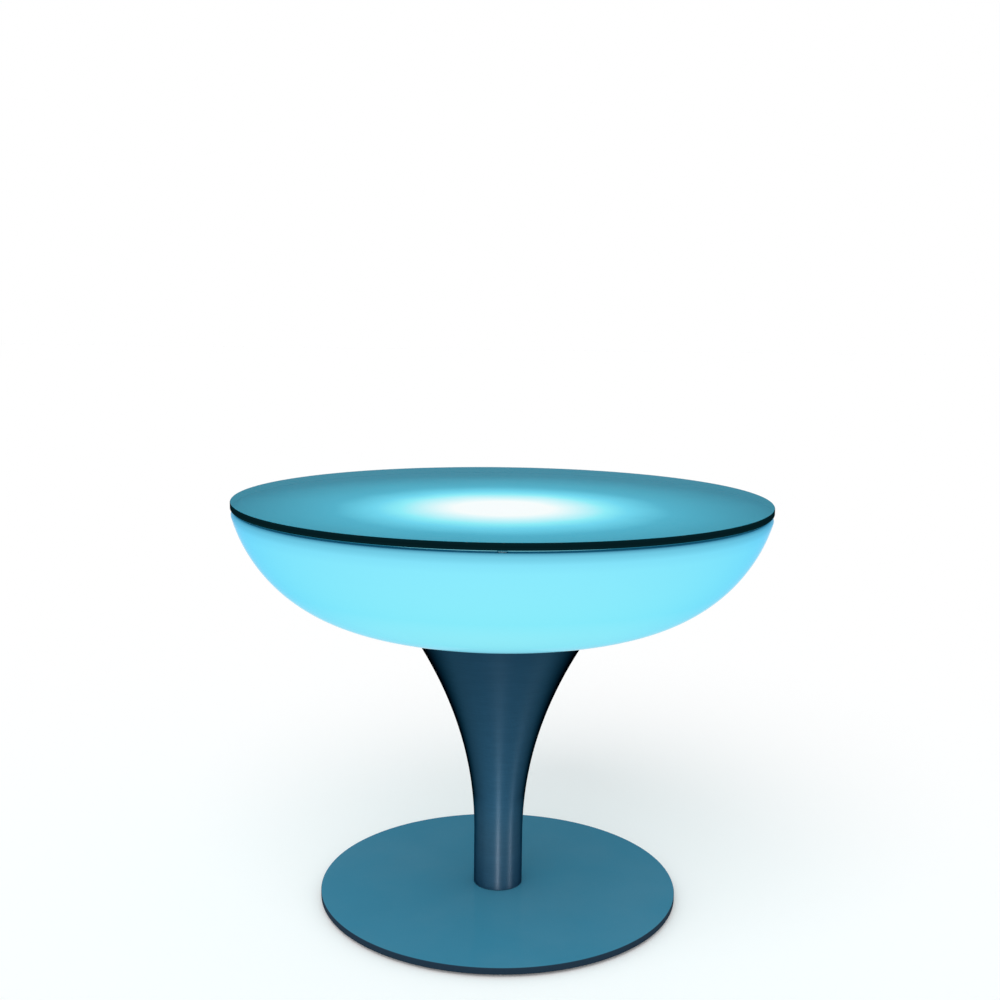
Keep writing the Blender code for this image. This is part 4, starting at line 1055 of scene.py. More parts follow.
# %% Bowl outline
RIM_SLOPE = math.radians(76)
SIDE_CURVE = 0.170
FLOOR_CURVE = 0.900
SEAT_RADIUS = 0.110
BOWL_WALL = 0.005
LIP_WIDTH = 0.016
LIP_THICKNESS = 0.005
LIP_ROUNDING = 0.001
RIM_ROUNDING = 0.004
RIM_PAST_GLASS = 0.0005


def arc(centre, radius, first, last, steps):
    slopes = [first + (last - first) * step / steps for step in range(steps + 1)]
    return [(centre[0] + radius * math.sin(slope), centre[1] - radius * math.cos(slope)) for slope in slopes]


rim = bowl_high.z
seat = bowl_low.z
rim_radius = glass_radius + RIM_PAST_GLASS
side = (rim_radius - SIDE_CURVE * math.sin(RIM_SLOPE), rim + SIDE_CURVE * math.cos(RIM_SLOPE))
meeting = math.asin(side[0] / (FLOOR_CURVE - SIDE_CURVE))
floor_centre = (0, side[1] + (FLOOR_CURVE - SIDE_CURVE) * math.cos(meeting))
inside_rounding = SIDE_CURVE - RIM_ROUNDING
rounding_slope = math.acos((side[1] - rim + RIM_ROUNDING) / inside_rounding)
rounding = (side[0] + inside_rounding * math.sin(rounding_slope), rim - RIM_ROUNDING)
print("bowl arcs meet at", round(math.degrees(meeting), 1), "degrees, seat off by",
      round(1000 * (floor_centre[1] - math.sqrt(FLOOR_CURVE**2 - SEAT_RADIUS**2) - seat), 3), "mm")

# %% Bowl mesh
BOWL_SIDES = 192
BOLT_HOLE_RADIUS = 0.0045
DRILL_REACH = 0.004

under_lip = math.acos((side[1] - rim + LIP_THICKNESS) / (SIDE_CURVE - BOWL_WALL))
seat_depth = math.sqrt(FLOOR_CURVE**2 - SEAT_RADIUS**2) - BOWL_WALL
inner_seat = math.acos(seat_depth / (FLOOR_CURVE - BOWL_WALL))

bowl_outline = [(0, seat)]
bowl_outline += arc(floor_centre, FLOOR_CURVE, math.asin(SEAT_RADIUS / FLOOR_CURVE), meeting, 10)
bowl_outline += arc(side, SIDE_CURVE, meeting, rounding_slope, 36)[1:]
bowl_outline += arc(rounding, RIM_ROUNDING, rounding_slope, math.pi, 9)[1:]
lip_edge, lip_bottom = rim_radius - LIP_WIDTH, rim - LIP_THICKNESS
bowl_outline += rounded(
    [(rounding[0], rim), (lip_edge, rim), (lip_edge, lip_bottom), (rounding[0], lip_bottom)],
    [0, LIP_ROUNDING, LIP_ROUNDING, 0])[1:-1]
bowl_outline += arc(side, SIDE_CURVE - BOWL_WALL, under_lip, meeting, 30)
bowl_outline += arc(floor_centre, FLOOR_CURVE - BOWL_WALL, meeting, inner_seat, 8)[1:]
bowl_outline += [(0, seat + BOWL_WALL)]
bowl_mesh = turned_mesh("milky_bowl", bowl_outline, BOWL_SIDES)
print("bowl:", len(bowl_outline), "outline points,", len(bowl_mesh.polygons), "faces")

# %% [markdown]
# Four bolts go through the bowl's floor. A hole in a mesh can be cut face by face, or with a Boolean
# modifier. The modifier is surer. It is applied at once, so the piece keeps a plain mesh.

# %% Drill holes
def combine(piece, operation, meshes):
    """Adds the meshes to the piece with UNION, or cuts them out of it with DIFFERENCE."""
    tools = []
    for mesh in meshes:
        tool = bpy.data.objects.new("tool", mesh)
        bpy.context.collection.objects.link(tool)
        modifier = piece.modifiers.new("tool", "BOOLEAN")
        modifier.operation = operation
        modifier.solver = "MANIFOLD"
        modifier.object = tool
        tools.append(tool)
    bpy.context.view_layer.update()
    result = piece.evaluated_get(bpy.context.evaluated_depsgraph_get())
    mesh = bpy.data.meshes.new_from_object(result)
    piece.modifiers.clear()
    piece.data = mesh
    mesh.set_sharp_from_angle(angle=SMOOTH_UP_TO)
    for tool in tools:
        bpy.data.objects.remove(tool)


def placed(mesh, *moves):
    """Turns or shifts a mesh; the first move is made first."""
    for move in moves:
        mesh.transform(move)
    return mesh


def drill(piece, cuts, sides=32):
    """Each cut is an upright outline and the (x, y) of its axis."""
    combine(piece, "DIFFERENCE", [
        placed(turned_mesh("hole", outline, sides), Matrix.Translation((x, y, 0))) for outline, x, y in cuts
    ])


print("drilling ready")

# %% [markdown]
# A hole goes where the CAD model has its screw, so the places are read off the CAD nodes' boxes. The drill
# reaches a little past both faces, because a Boolean is unsure where two faces lie in one plane.

# %% Bowl holes
def spot(node):
    low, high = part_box(node)
    return ((low.x + high.x) / 2, (low.y + high.y) / 2)


def spots(node, count):
    return [spot(f"{node}_{index}") for index in range(1, count + 1)]


def plain_hole(radius, bottom, top):
    start, end = bottom - DRILL_REACH, top + DRILL_REACH
    return [(0, start), (radius, start), (radius, end), (0, end)]


def holes(radius, bottom, top, places):
    return [(plain_hole(radius, bottom, top), *place) for place in places]


bowl = show("milky_bowl", bowl_mesh, "lit_plastic", "bowl_shell")
drill(bowl, holes(BOLT_HOLE_RADIUS, seat, seat + BOWL_WALL, spots("bowl_bolt", 4)))
print("bowl drilled:", len(bowl.data.polygons), "faces")

# %% [markdown]
# ## The column
#
# The column is a tube, straight at its foot, that flares like a trumpet. One power curve draws the flare:
# it starts with no slope, so it leaves the straight part without a corner, and widens faster and faster.
# The wall is 1.5 mm, measured square to the surface, and both ends are rounded over.

# %% Column
COLUMN_SIDES = 192
STEM_RADIUS = 0.028
STEM_LENGTH = 0.059
MOUTH_RADIUS = 0.1065
FLARE_POWER = 2.09
COLUMN_WALL = 0.0015
COLUMN_EDGE = 0.0004
STEM_STEPS = 8
FLARE_STEPS = 72

foot, mouth = column_low.z, column_high.z
flare_start = foot + STEM_LENGTH
flare_length = mouth - foot - STEM_LENGTH


def flare(height):
    """The column's radius at a height, and how fast the radius grows there."""
    share = max(0.0, (height - foot - STEM_LENGTH) / flare_length)
    widening = MOUTH_RADIUS - STEM_RADIUS
    slope = FLARE_POWER * widening / flare_length * share ** (FLARE_POWER - 1)
    return STEM_RADIUS + widening * share**FLARE_POWER, slope


heights = [foot] + [foot + STEM_LENGTH * step / STEM_STEPS for step in range(1, STEM_STEPS)]
heights += [flare_start + flare_length * step / FLARE_STEPS for step in range(FLARE_STEPS + 1)]
outer = [(flare(height)[0], height) for height in heights]
inner = [(flare(height)[0] - COLUMN_WALL * math.hypot(1, flare(height)[1]), height) for height in heights]
tube = outer + inner[::-1]
ends = {0, len(outer) - 1, len(outer), len(tube) - 1}
tube = rounded(tube, [COLUMN_EDGE if index in ends else 0 for index in range(len(tube))], 3)
column_mesh = turned_mesh("trumpet_column", tube, COLUMN_SIDES)
column = show("trumpet_column", column_mesh, "spun_steel", "column_shell")
mirrors_lamps.objects.link(column)
print("column:", len(column_mesh.polygons), "faces, mouth", round(2000 * flare(mouth)[0]), "mm across")

# %% [markdown]
# ## The base plate, its pads and its screws
#
# The plate is a laser-cut disc. Its edge is ground round before it is coated. Three screws come up
# through it into the column, with their heads sunk so that they clear the floor, and four rubber pads
# are glued under it.

# %% Base plate
BASE_SIDES = 256
BASE_EDGE = 0.0012
SCREW_HOLE_RADIUS = 0.0045
SINK_RADIUS = 0.0083
SINK_HEIGHT = 0.0042
HEAD_RECESS = 0.0003

base_low, base_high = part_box("base_plate")
base_mesh = turned_mesh("base_disc", disc(base_high.x, base_low.z, base_high.z, BASE_EDGE), BASE_SIDES)
base = show("base_disc", base_mesh, "base_coating", "base_plate")
sink_start, sink_end = base_low.z - DRILL_REACH, base_high.z + DRILL_REACH
head_bottom = base_low.z + HEAD_RECESS
sunk_hole = [
    (0, sink_start), (SINK_RADIUS, sink_start), (SINK_RADIUS, head_bottom),
    (SCREW_HOLE_RADIUS, head_bottom + SINK_HEIGHT), (SCREW_HOLE_RADIUS, sink_end), (0, sink_end),
]
drill(base, [(sunk_hole, *place) for place in spots("foot_screw", 3)], 40)
print("base:", len(base.data.polygons), "faces")

# %% [markdown]
# A pad touches the floor with two rings. Its middle and the groove between the rings are sunk.

# %% Rubber pads
PAD_GROOVE = 0.0004
PAD_EDGES = (0.0006, 0.0003)

for index in range(1, 5):
    low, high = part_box(f"base_pad_{index}")
    radius = (high.x - low.x) / 2
    tall = high.z - low.z
    profile = [
        (0, PAD_GROOVE), (0.45, PAD_GROOVE), (0.50, 0), (0.62, 0), (0.67, PAD_GROOVE), (0.75, PAD_GROOVE),
        (0.80, 0), (1, 0), (1, tall), (0, tall),
    ]
    outline = rounded([(radius * share, height) for share, height in profile], [0] * 7 + [*PAD_EDGES, 0], 5)
    pad = turned_mesh(f"rubber_foot_{index}", outline, 64)
    show(f"rubber_foot_{index}", pad, "rubber", f"base_pad_{index}", (*spot(f"base_pad_{index}"), low.z))
print("pads are", round(1000 * tall, 1), "mm thick")

# %% [markdown]
# ## Screws and bolts
#
# All the fasteners are turned outlines with one hexagon in them: sunk into the head for a key, or as the
# head itself for a spanner. The small chamfer on a hexagon head is the turned cone that cuts its corners,
# drawn here as a narrower hexagon on top.

# %% Set a kind of screw in its places
def set_screws(node_name, count, name, outline, from_top=True):
    """Puts the same screw in place of each numbered CAD node, measured from its top or from its bottom."""
    for index in range(1, count + 1):
        low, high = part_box(f"{node_name}_{index}")
        mesh = turned_mesh(f"{name}_{index}", outline, 48)
        at = (*spot(f"{node_name}_{index}"), high.z if from_top else low.z)
        show(f"{name}_{index}", mesh, "zinc", f"{node_name}_{index}", at)
    print(name, "x", count)


print("screw helper ready")

# %% [markdown]
# Each collar bolt has a wide collar under its hexagon, so it needs no washer. Heights are counted down from
# the top of the head.

# %% Collar bolts
BOLT_RADIUS = 0.004
BOLT_TIP = -0.0317
BOLT_TIP_EDGE = 0.0008
COLLAR_RADIUS = 0.0085
COLLAR_TOP_RADIUS = 0.0066
COLLAR_BOTTOM, COLLAR_TOP = -0.0067, -0.0053
COLLAR_EDGE = 0.0004
HEAD_ACROSS, HEAD_TOP_ACROSS = 0.013, 0.012
HEAD_CHAMFER = 0.0006

bolt_outline = rounded(
    [(0, BOLT_TIP), (BOLT_RADIUS, BOLT_TIP), (BOLT_RADIUS, COLLAR_BOTTOM), (COLLAR_RADIUS, COLLAR_BOTTOM),
     (COLLAR_RADIUS, COLLAR_TOP), (COLLAR_TOP_RADIUS, COLLAR_TOP)],
    [0, BOLT_TIP_EDGE, 0, COLLAR_EDGE, COLLAR_EDGE, 0], 3)
bolt_outline += [(HEAD_ACROSS, COLLAR_TOP, 6), (HEAD_ACROSS, -HEAD_CHAMFER, 6)]
bolt_outline += [(HEAD_TOP_ACROSS, 0, 6), (0, 0)]
set_screws("bowl_bolt", 4, "collar_bolt", bolt_outline)

# %% [markdown]
# The light and its cover are held by small screws with a low domed head. Two sizes share one outline, in
# which everything follows from the shank and the head.

# %% Domed screws
HEAD_EDGE = 0.0002


def domed_screw(radius, length, head_radius, head_height):
    """A screw with a domed head and a hexagon key hole, measured down from its top."""
    tip = -head_height - length
    key = 0.9 * head_radius
    return [
        (0, tip), (radius * 0.8, tip), (radius, tip + radius * 0.4), (radius, -head_height),
        (head_radius - HEAD_EDGE, -head_height), (head_radius, -head_height + HEAD_EDGE),
        (head_radius * 0.99, -head_height * 0.55), (head_radius * 0.90, -head_height * 0.25),
        (head_radius * 0.75, -head_height * 0.06), (head_radius * 0.62, 0),
        (key, 0, 6), (key, -head_height * 0.5, 6), (0, -head_height * 0.5),
    ]


lug_outline = domed_screw(radius=0.002, length=0.006, head_radius=0.0038, head_height=0.0022)
lid_outline = domed_screw(radius=0.0013, length=0.012, head_radius=0.0026, head_height=0.0018)
set_screws("module_screw", 3, "lug_screw", lug_outline)
set_screws("cover_screw", 3, "lid_screw", lid_outline)

# %% [markdown]
# A sunk screw goes in from below, so its outline is counted upwards from the flat of its head. The cone
# under the head sits in the cone that was drilled for it.

# %% Sunk screws
KEY_ACROSS, KEY_DEPTH = 0.005, 0.0025
SUNK_HEAD_RADIUS = 0.0078
SUNK_HEAD_CHAMFER = 0.0003
SUNK_SHANK_RADIUS = 0.004
SUNK_SHANK_START, SUNK_SHANK_END = 0.0042, 0.016
SUNK_TIP_CHAMFER = 0.0006

sunk_outline = [
    (0, KEY_DEPTH), (KEY_ACROSS, KEY_DEPTH, 6), (KEY_ACROSS, 0, 6),
    (SUNK_HEAD_RADIUS - SUNK_HEAD_CHAMFER, 0), (SUNK_HEAD_RADIUS, SUNK_HEAD_CHAMFER),
    (SUNK_SHANK_RADIUS, SUNK_SHANK_START), (SUNK_SHANK_RADIUS, SUNK_SHANK_END - SUNK_TIP_CHAMFER),
    (SUNK_SHANK_RADIUS - SUNK_TIP_CHAMFER, SUNK_SHANK_END), (0, SUNK_SHANK_END),
]
set_screws("foot_screw", 3, "sunk_screw", sunk_outline, from_top=False)

# %% [markdown]
# ## The clamp plate
#
# A round steel plate spreads the bolts' grip over the bowl's floor. It is laser cut, so its edges are
# only broken, and the light is screwed to it as well.

# %% Clamp plate
CLAMP_EDGE = 0.0004
LUG_HOLE_RADIUS = 0.0023

clamp_low, clamp_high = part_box("clamp_plate")
clamp_mesh = turned_mesh("clamp_disc", disc(clamp_high.x, clamp_low.z, clamp_high.z, CLAMP_EDGE, 3), 128)
clamp = show("clamp_disc", clamp_mesh, "plain_steel", "clamp_plate")
clamp_holes = holes(BOLT_HOLE_RADIUS, clamp_low.z, clamp_high.z, spots("bowl_bolt", 4))
clamp_holes += holes(LUG_HOLE_RADIUS, clamp_low.z, clamp_high.z, spots("module_screw", 3))
drill(clamp, clamp_holes)
print("clamp plate:", len(clamp.data.polygons), "faces")

# %% [markdown]
# ## The cover and the dome
#
# The lid of the light is a moulded ring with the dome in its middle. Through it come the power button, the
# eye for the remote control and the charging light, each in a hole of its own.

# %% Cover
CONTROL_HOLES = {"power_button": 0.0045, "ir_receiver": 0.0027, "charge_light_pipe": 0.0015}
SCREW_CLEAR_RADIUS = 0.0018
COVER_EDGES = (0.0002, 0.0003, 0.0008, 0.0005)
APERTURE_GAP = 0.0003
DOME_FOOT_RADIUS = 0.0417
LID_SIDES = 160

cover_low, cover_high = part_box("module_cover")
lid_radius = cover_high.x
aperture = DOME_FOOT_RADIUS + APERTURE_GAP


def ring_outline(inner_edge, outer_edge, bottom, top, edges, steps=4):
    corners = [(inner_edge, bottom), (outer_edge, bottom), (outer_edge, top), (inner_edge, top)]
    return rounded(corners, edges, steps)


cover_outline = ring_outline(aperture, lid_radius, cover_low.z, cover_high.z, COVER_EDGES)
cover = show("lamp_lid", turned_mesh("lamp_lid", cover_outline, LID_SIDES), "white_plastic", "module_cover")
lid_holes = holes(SCREW_CLEAR_RADIUS, cover_low.z, cover_high.z, spots("cover_screw", 3))
for node, radius in CONTROL_HOLES.items():
    lid_holes += holes(radius, cover_low.z, cover_high.z, [spot(node)])
drill(cover, lid_holes)
print("cover:", len(cover.data.polygons), "faces")

# %% [markdown]
# Between tray and cover lies a thin rubber ring. Only its outer edge shows, as a dark line round the light.

# %% Seal
GAP = 0.0003
TRAY_WALL = 0.0022
SEAL_WIDTH = 0.0014
SEAL_EDGE = 0.0003

seal_low, seal_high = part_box("module_seal")
seal_middle = lid_radius - TRAY_WALL / 2
seal_outline = ring_outline(
    seal_middle - SEAL_WIDTH / 2, seal_middle + SEAL_WIDTH / 2, seal_low.z, seal_high.z, [SEAL_EDGE] * 4, 3)
show("rubber_seal", turned_mesh("rubber_seal", seal_outline, LID_SIDES), "rubber", "module_seal")
print("seal:", round(2000 * seal_middle, 1), "mm across")

# %% [markdown]
# ## The tray
#
# The tray is one moulding: a shallow cup with three lugs outside, and inside it bosses for the cover's
# screws, posts for the LED board and ribs for the control board. A moulder would draw it as one body. In
# a mesh it is simpler to make each feature as a body of its own and to join them with Union.

# %% Flat pieces with upright sides
def slab(name, outline, bottom, top):
    bm = bmesh.new()
    below = [bm.verts.new((x, y, bottom)) for x, y in outline]
    above = [bm.verts.new((x, y, top)) for x, y in outline]
    bm.faces.new(below[::-1])
    bm.faces.new(above)
    for index in range(len(outline)):
        after = (index + 1) % len(outline)
        bm.faces.new((below[index], below[after], above[after], above[index]))
    mesh = bpy.data.meshes.new(name)
    bm.to_mesh(mesh)
    bm.free()
    return mesh


def bar(name, low, high, edge):
    """A block with its edges rounded over."""
    outline = [(low[0], low[1]), (high[0], low[1]), (high[0], high[1]), (low[0], high[1])]
    mesh = slab(name, outline, low[2], high[2])
    bm = bmesh.new()
    bm.from_mesh(mesh)
    bmesh.ops.bevel(bm, geom=bm.edges[:], offset=edge, segments=3, profile=0.5, affect="EDGES")
    bm.to_mesh(mesh)
    bm.free()
    mesh.shade_smooth()
    mesh.set_sharp_from_angle(angle=SMOOTH_UP_TO)
    return mesh


print("flat pieces ready")

# %% Tray cup
TRAY_FLOOR = 0.0025
TRAY_EDGES = (0.0015, 0.0003, 0.0003, 0.0010)

tray_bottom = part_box("module_tray")[0].z
tray_top = seal_low.z - GAP
tray_floor = tray_bottom + TRAY_FLOOR
inner_radius = lid_radius - TRAY_WALL

cup = rounded(
    [(0, tray_bottom), (lid_radius, tray_bottom), (lid_radius, tray_top), (inner_radius, tray_top),
     (inner_radius, tray_floor), (0, tray_floor)],
    [0, *TRAY_EDGES, 0])
tray = show("lamp_tray", turned_mesh("lamp_tray", cup, LID_SIDES), "white_plastic", "module_tray")
print("cup:", len(tray.data.polygons), "faces")

# %% [markdown]
# Every feature starts half way down in the cup's floor or wall, so that the bodies overlap well where they
# are joined.

# %% Lugs, bosses, posts and ribs
LUG_LENGTH = 0.009
LUG_WIDTH = 0.012
LUG_THICKNESS = 0.003
LUG_STEPS = 24
BOSS_RADIUS = 0.0035
POST_RADIUS = 0.0025
POST_INSET = 0.003
RIB_WIDTH = 0.003
FEATURE_EDGE = 0.0002

board_low, board_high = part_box("led_board")
control_low, control_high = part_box("control_board")
post_circle = board_high.x - POST_INSET
root = tray_floor - TRAY_FLOOR / 2


def lug(angle):
    """A tongue with a round end, drawn along X and turned to its place."""
    start = lid_radius - TRAY_WALL / 2
    centre = lid_radius + LUG_LENGTH - LUG_WIDTH / 2
    outline = [(start, -LUG_WIDTH / 2)]
    for step in range(LUG_STEPS + 1):
        turn = math.radians(-90 + 180 * step / LUG_STEPS)
        outline.append((centre + LUG_WIDTH / 2 * math.cos(turn), LUG_WIDTH / 2 * math.sin(turn)))
    outline.append((start, LUG_WIDTH / 2))
    tongue = slab("lug", outline, tray_bottom, tray_bottom + LUG_THICKNESS)
    return placed(tongue, Matrix.Rotation(angle, 4, "Z"))


def pillar(radius, top, x, y):
    mesh = turned_mesh("pillar", disc(radius, root, top, FEATURE_EDGE), 32)
    return placed(mesh, Matrix.Translation((x, y, 0)))


lug_spots = spots("module_screw", 3)
boss_spots = spots("cover_screw", 3)
features = [lug(math.atan2(y, x)) for x, y in lug_spots]
features += [pillar(BOSS_RADIUS, cover_low.z - GAP, x, y) for x, y in boss_spots]
for index in range(3):
    turn = math.pi + math.tau * index / 3
    place = (post_circle * math.cos(turn), post_circle * math.sin(turn))
    features.append(pillar(POST_RADIUS, board_low.z - GAP, *place))
for side in (-1, 1):
    middle = side * (control_high.y - RIB_WIDTH / 2)
    near, far = (control_low.x, middle - RIB_WIDTH / 2), (control_high.x, middle + RIB_WIDTH / 2)
    features.append(bar("rib", (*near, root), (*far, control_low.z - GAP), FEATURE_EDGE))
combine(tray, "UNION", features)
print("tray joined:", len(tray.data.polygons), "faces")

# %% [markdown]
# Then the holes: one through each lug, a blind bore in each boss, and the window for the charging socket,
# which is drilled from the side.

# %% Tray holes
LUG_CLEAR_RADIUS = 0.0025
BOSS_BORE_RADIUS = 0.0016
BOSS_BORE_DEPTH = 0.013
WINDOW_RADIUS = 0.005
QUARTER_TURN = math.radians(90)

socket_low, socket_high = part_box("dc_socket")
socket_height = (socket_low.z + socket_high.z) / 2
bore_bottom = cover_low.z - GAP - BOSS_BORE_DEPTH
bore = [(0, bore_bottom), (BOSS_BORE_RADIUS, bore_bottom), (BOSS_BORE_RADIUS, cover_low.z), (0, cover_low.z)]
tray_holes = holes(LUG_CLEAR_RADIUS, tray_bottom, tray_bottom + LUG_THICKNESS, lug_spots)
tray_holes += [(bore, *place) for place in boss_spots]
drill(tray, tray_holes)
window = placed(
    turned_mesh("window", plain_hole(WINDOW_RADIUS, 0, TRAY_WALL), 48),
    Matrix.Rotation(QUARTER_TURN, 4, "Y"), Matrix.Translation((inner_radius, 0, socket_height)),
)
combine(tray, "DIFFERENCE", [window])
print("tray drilled:", len(tray.data.polygons), "faces")

# %% [markdown]
# ## The dome
#
# The diffuser is a shallow dome with a flat flange, moulded in opal plastic. The dome is a slice off a
# sphere: its width and its height give the sphere's radius. The cover clamps the flange.

# %% Dome
DOME_HEIGHT = 0.016
DOME_WALL = 0.0018
FLANGE_THICKNESS = 0.0015
FLANGE_EDGE = 0.0003


def cap_of_sphere(radius, height, bottom, steps=20):
    sphere = (radius**2 + height**2) / (2 * height)
    opening = math.asin(radius / sphere)
    turns = [opening * (1 - step / steps) for step in range(steps)]
    points = [(sphere * math.sin(turn), bottom + height - sphere + sphere * math.cos(turn)) for turn in turns]
    return points + [(0, bottom + height)]


flange_top = dome_low.z + FLANGE_THICKNESS
flange = rounded(
    [(DOME_FOOT_RADIUS - DOME_WALL, dome_low.z), (dome_high.x, dome_low.z), (dome_high.x, flange_top)],
    [0, FLANGE_EDGE, FLANGE_EDGE], 3)
outside = cap_of_sphere(DOME_FOOT_RADIUS, DOME_HEIGHT, flange_top)
inside_dome = cap_of_sphere(DOME_FOOT_RADIUS - DOME_WALL, DOME_HEIGHT - DOME_WALL, flange_top)
dome_mesh = turned_mesh("opal_dome", flange + outside + inside_dome[::-1], LID_SIDES)
show("opal_dome", dome_mesh, "opal", "diffuser_dome")
print("dome:", len(dome_mesh.polygons), "faces")

# %% [markdown]
# ## The controls
#
# A button needs a shape that a finger finds: its top is dished. Below the cover it has a collar, so that
# the spring can't push it out, and a stem that reaches the switch.

# %% Power button
BUTTON_RADIUS = 0.0042
BUTTON_COLLAR_RADIUS = 0.0054
BUTTON_COLLAR_THICKNESS = 0.0014
BUTTON_STEM_RADIUS = 0.0014
BUTTON_EDGES = (0, 0.0004, 0.0003, 0.0002, 0.0002, 0, 0.0005, 0)
BUTTON_DISH = 0.0005
DISH_START = 0.82
DISH = [(0.65, 0.5), (0.45, 0.8), (0.22, 0.96), (0, 1)]

button_low, button_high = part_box("power_button")
collar_top = cover_low.z - GAP
collar_bottom = collar_top - BUTTON_COLLAR_THICKNESS
button_outline = rounded(
    [(0, button_low.z), (BUTTON_STEM_RADIUS, button_low.z), (BUTTON_STEM_RADIUS, collar_bottom),
     (BUTTON_COLLAR_RADIUS, collar_bottom), (BUTTON_COLLAR_RADIUS, collar_top), (BUTTON_RADIUS, collar_top),
     (BUTTON_RADIUS, button_high.z), (DISH_START * BUTTON_RADIUS, button_high.z)],
    BUTTON_EDGES)
button_outline += [(share * BUTTON_RADIUS, button_high.z - depth * BUTTON_DISH) for share, depth in DISH]
button_mesh = turned_mesh("push_button", button_outline, 72)
show("push_button", button_mesh, "button_grey", "power_button", (*spot("power_button"), 0), "button")
print("button", round(2000 * BUTTON_RADIUS, 1), "mm across")

# %% [markdown]
# The eye for the remote control is a small block on its leads. It ends in a round lens above the cover.

# %% Remote control eye
EYE_LEAD_SIDE = 0.0024
EYE_BODY_SIDE = 0.006
EYE_BODY_HEIGHT = 0.007
EYE_BODY_DROP = 0.002
EYE_LENS_RADIUS = 0.0024
LENS_STEPS = 8

eye_low, eye_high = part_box("ir_receiver")
eye_top = cover_low.z - EYE_BODY_DROP
eye_bottom = eye_top - EYE_BODY_HEIGHT
eye_outline = [
    (0, eye_low.z), (EYE_LEAD_SIDE, eye_low.z, 4), (EYE_LEAD_SIDE, eye_bottom, 4),
    (EYE_BODY_SIDE, eye_bottom, 4), (EYE_BODY_SIDE, eye_top, 4), (EYE_LENS_RADIUS, eye_top),
]
lens_rise = eye_high.z - cover_high.z
for step in range(LENS_STEPS):
    turn = math.radians(90 * step / LENS_STEPS)
    eye_outline.append((EYE_LENS_RADIUS * math.cos(turn), cover_high.z + lens_rise * math.sin(turn)))
eye_outline.append((0, eye_high.z))
eye_mesh = turned_mesh("remote_eye", eye_outline, 48)
show("remote_eye", eye_mesh, "dark_lens", "ir_receiver", (*spot("ir_receiver"), 0))
print("eye", round(2000 * EYE_LENS_RADIUS, 1), "mm across")

# %% [markdown]
# The charging light is a clear pin with a domed tip. It carries the light up from the board.

# %% Charging light
PIPE_RADIUS = 0.0012
PIPE_COLLAR_RADIUS = 0.002
PIPE_COLLAR_THICKNESS = 0.001
PIPE_EDGES = (0, 0.0002, 0, 0.0001, 0.0001, 0, 0.0006, 0)

pipe_low, pipe_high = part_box("charge_light_pipe")
pipe_collar = collar_top - PIPE_COLLAR_THICKNESS
pipe_outline = rounded(
    [(0, pipe_low.z), (PIPE_RADIUS, pipe_low.z), (PIPE_RADIUS, pipe_collar),
     (PIPE_COLLAR_RADIUS, pipe_collar), (PIPE_COLLAR_RADIUS, collar_top), (PIPE_RADIUS, collar_top),
     (PIPE_RADIUS, pipe_high.z), (0, pipe_high.z)],
    PIPE_EDGES, 5)
pipe_mesh = turned_mesh("charging_pin", pipe_outline, 40)
show("charging_pin", pipe_mesh, "clear_plastic", "charge_light_pipe", (*spot("charge_light_pipe"), 0))
print("pin", round(2000 * PIPE_RADIUS, 1), "mm across")

# %% [markdown]
# ## The button's spring
#
# A compression spring is a wire wound on a screw line, and its first and last turns lie almost flat, so
# that it stands square. A curve with a round bevel would make it. Here a ring of points is carried along
# the line, because the spring has to get shorter as the button goes down, and that moves mesh points.

# %% Spring
SPRING_RADIUS = 0.0026
WIRE_RADIUS = 0.0003
SPRING_TURNS = 5
END_PITCH = 0.0007
STEPS_PER_TURN = 36
WIRE_SIDES = 10
UP = Vector((0, 0, 1))

spring_low, spring_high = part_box("button_spring")


def coil_point(turn):
    """A point of the wire's middle line after so many turns, and the way outwards there."""
    first, last = spring_low.z + WIRE_RADIUS, spring_high.z - WIRE_RADIUS
    pitch = (last - first - 2 * END_PITCH) / (SPRING_TURNS - 2)
    height = first + END_PITCH * min(turn, 1) + pitch * min(max(turn - 1, 0), SPRING_TURNS - 2)
    height += END_PITCH * max(turn - SPRING_TURNS + 1, 0)
    outwards = Vector((math.cos(math.tau * turn), math.sin(math.tau * turn), 0))
    return SPRING_RADIUS * outwards + Vector((0, 0, height)), outwards


bm = bmesh.new()
rings = []
for step in range(SPRING_TURNS * STEPS_PER_TURN + 1):
    middle, outwards = coil_point(step / STEPS_PER_TURN)
    ring = []
    for side in range(WIRE_SIDES):
        turn = math.tau * side / WIRE_SIDES
        ring.append(bm.verts.new(middle + WIRE_RADIUS * (math.cos(turn) * outwards + math.sin(turn) * UP)))
    rings.append(ring)
for ring, following in zip(rings, rings[1:]):
    for side in range(WIRE_SIDES):
        after = (side + 1) % WIRE_SIDES
        bm.faces.new((ring[side], ring[after], following[after], following[side]))
bm.faces.new(rings[0])
bm.faces.new(rings[-1])
spring_mesh = smooth_mesh("return_spring", bm)
spring = show("return_spring", spring_mesh, "zinc", "button_spring", (*spot("button_spring"), 0))
print("spring:", len(spring_mesh.polygons), "faces")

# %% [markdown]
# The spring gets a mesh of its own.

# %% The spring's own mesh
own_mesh(spring)

# %% [markdown]
# ## The charging socket and its cap
#
# The socket is a round hole with a pin, in a square body that sits on the board. It looks out of the tray's
# window. A rubber cap keeps dust out, and swings up on a short strap.

# %% Charging socket
SOCKET_SIDE = 0.009
SOCKET_BODY_LENGTH = 0.0145
SOCKET_COLLAR_RADIUS = 0.0042
SOCKET_BORE_RADIUS = 0.0032
SOCKET_BORE_DEPTH = 0.009
SOCKET_PIN_RADIUS = 0.001
SOCKET_PIN_RECESS = 0.002
PIN_CHAMFER = 0.0004

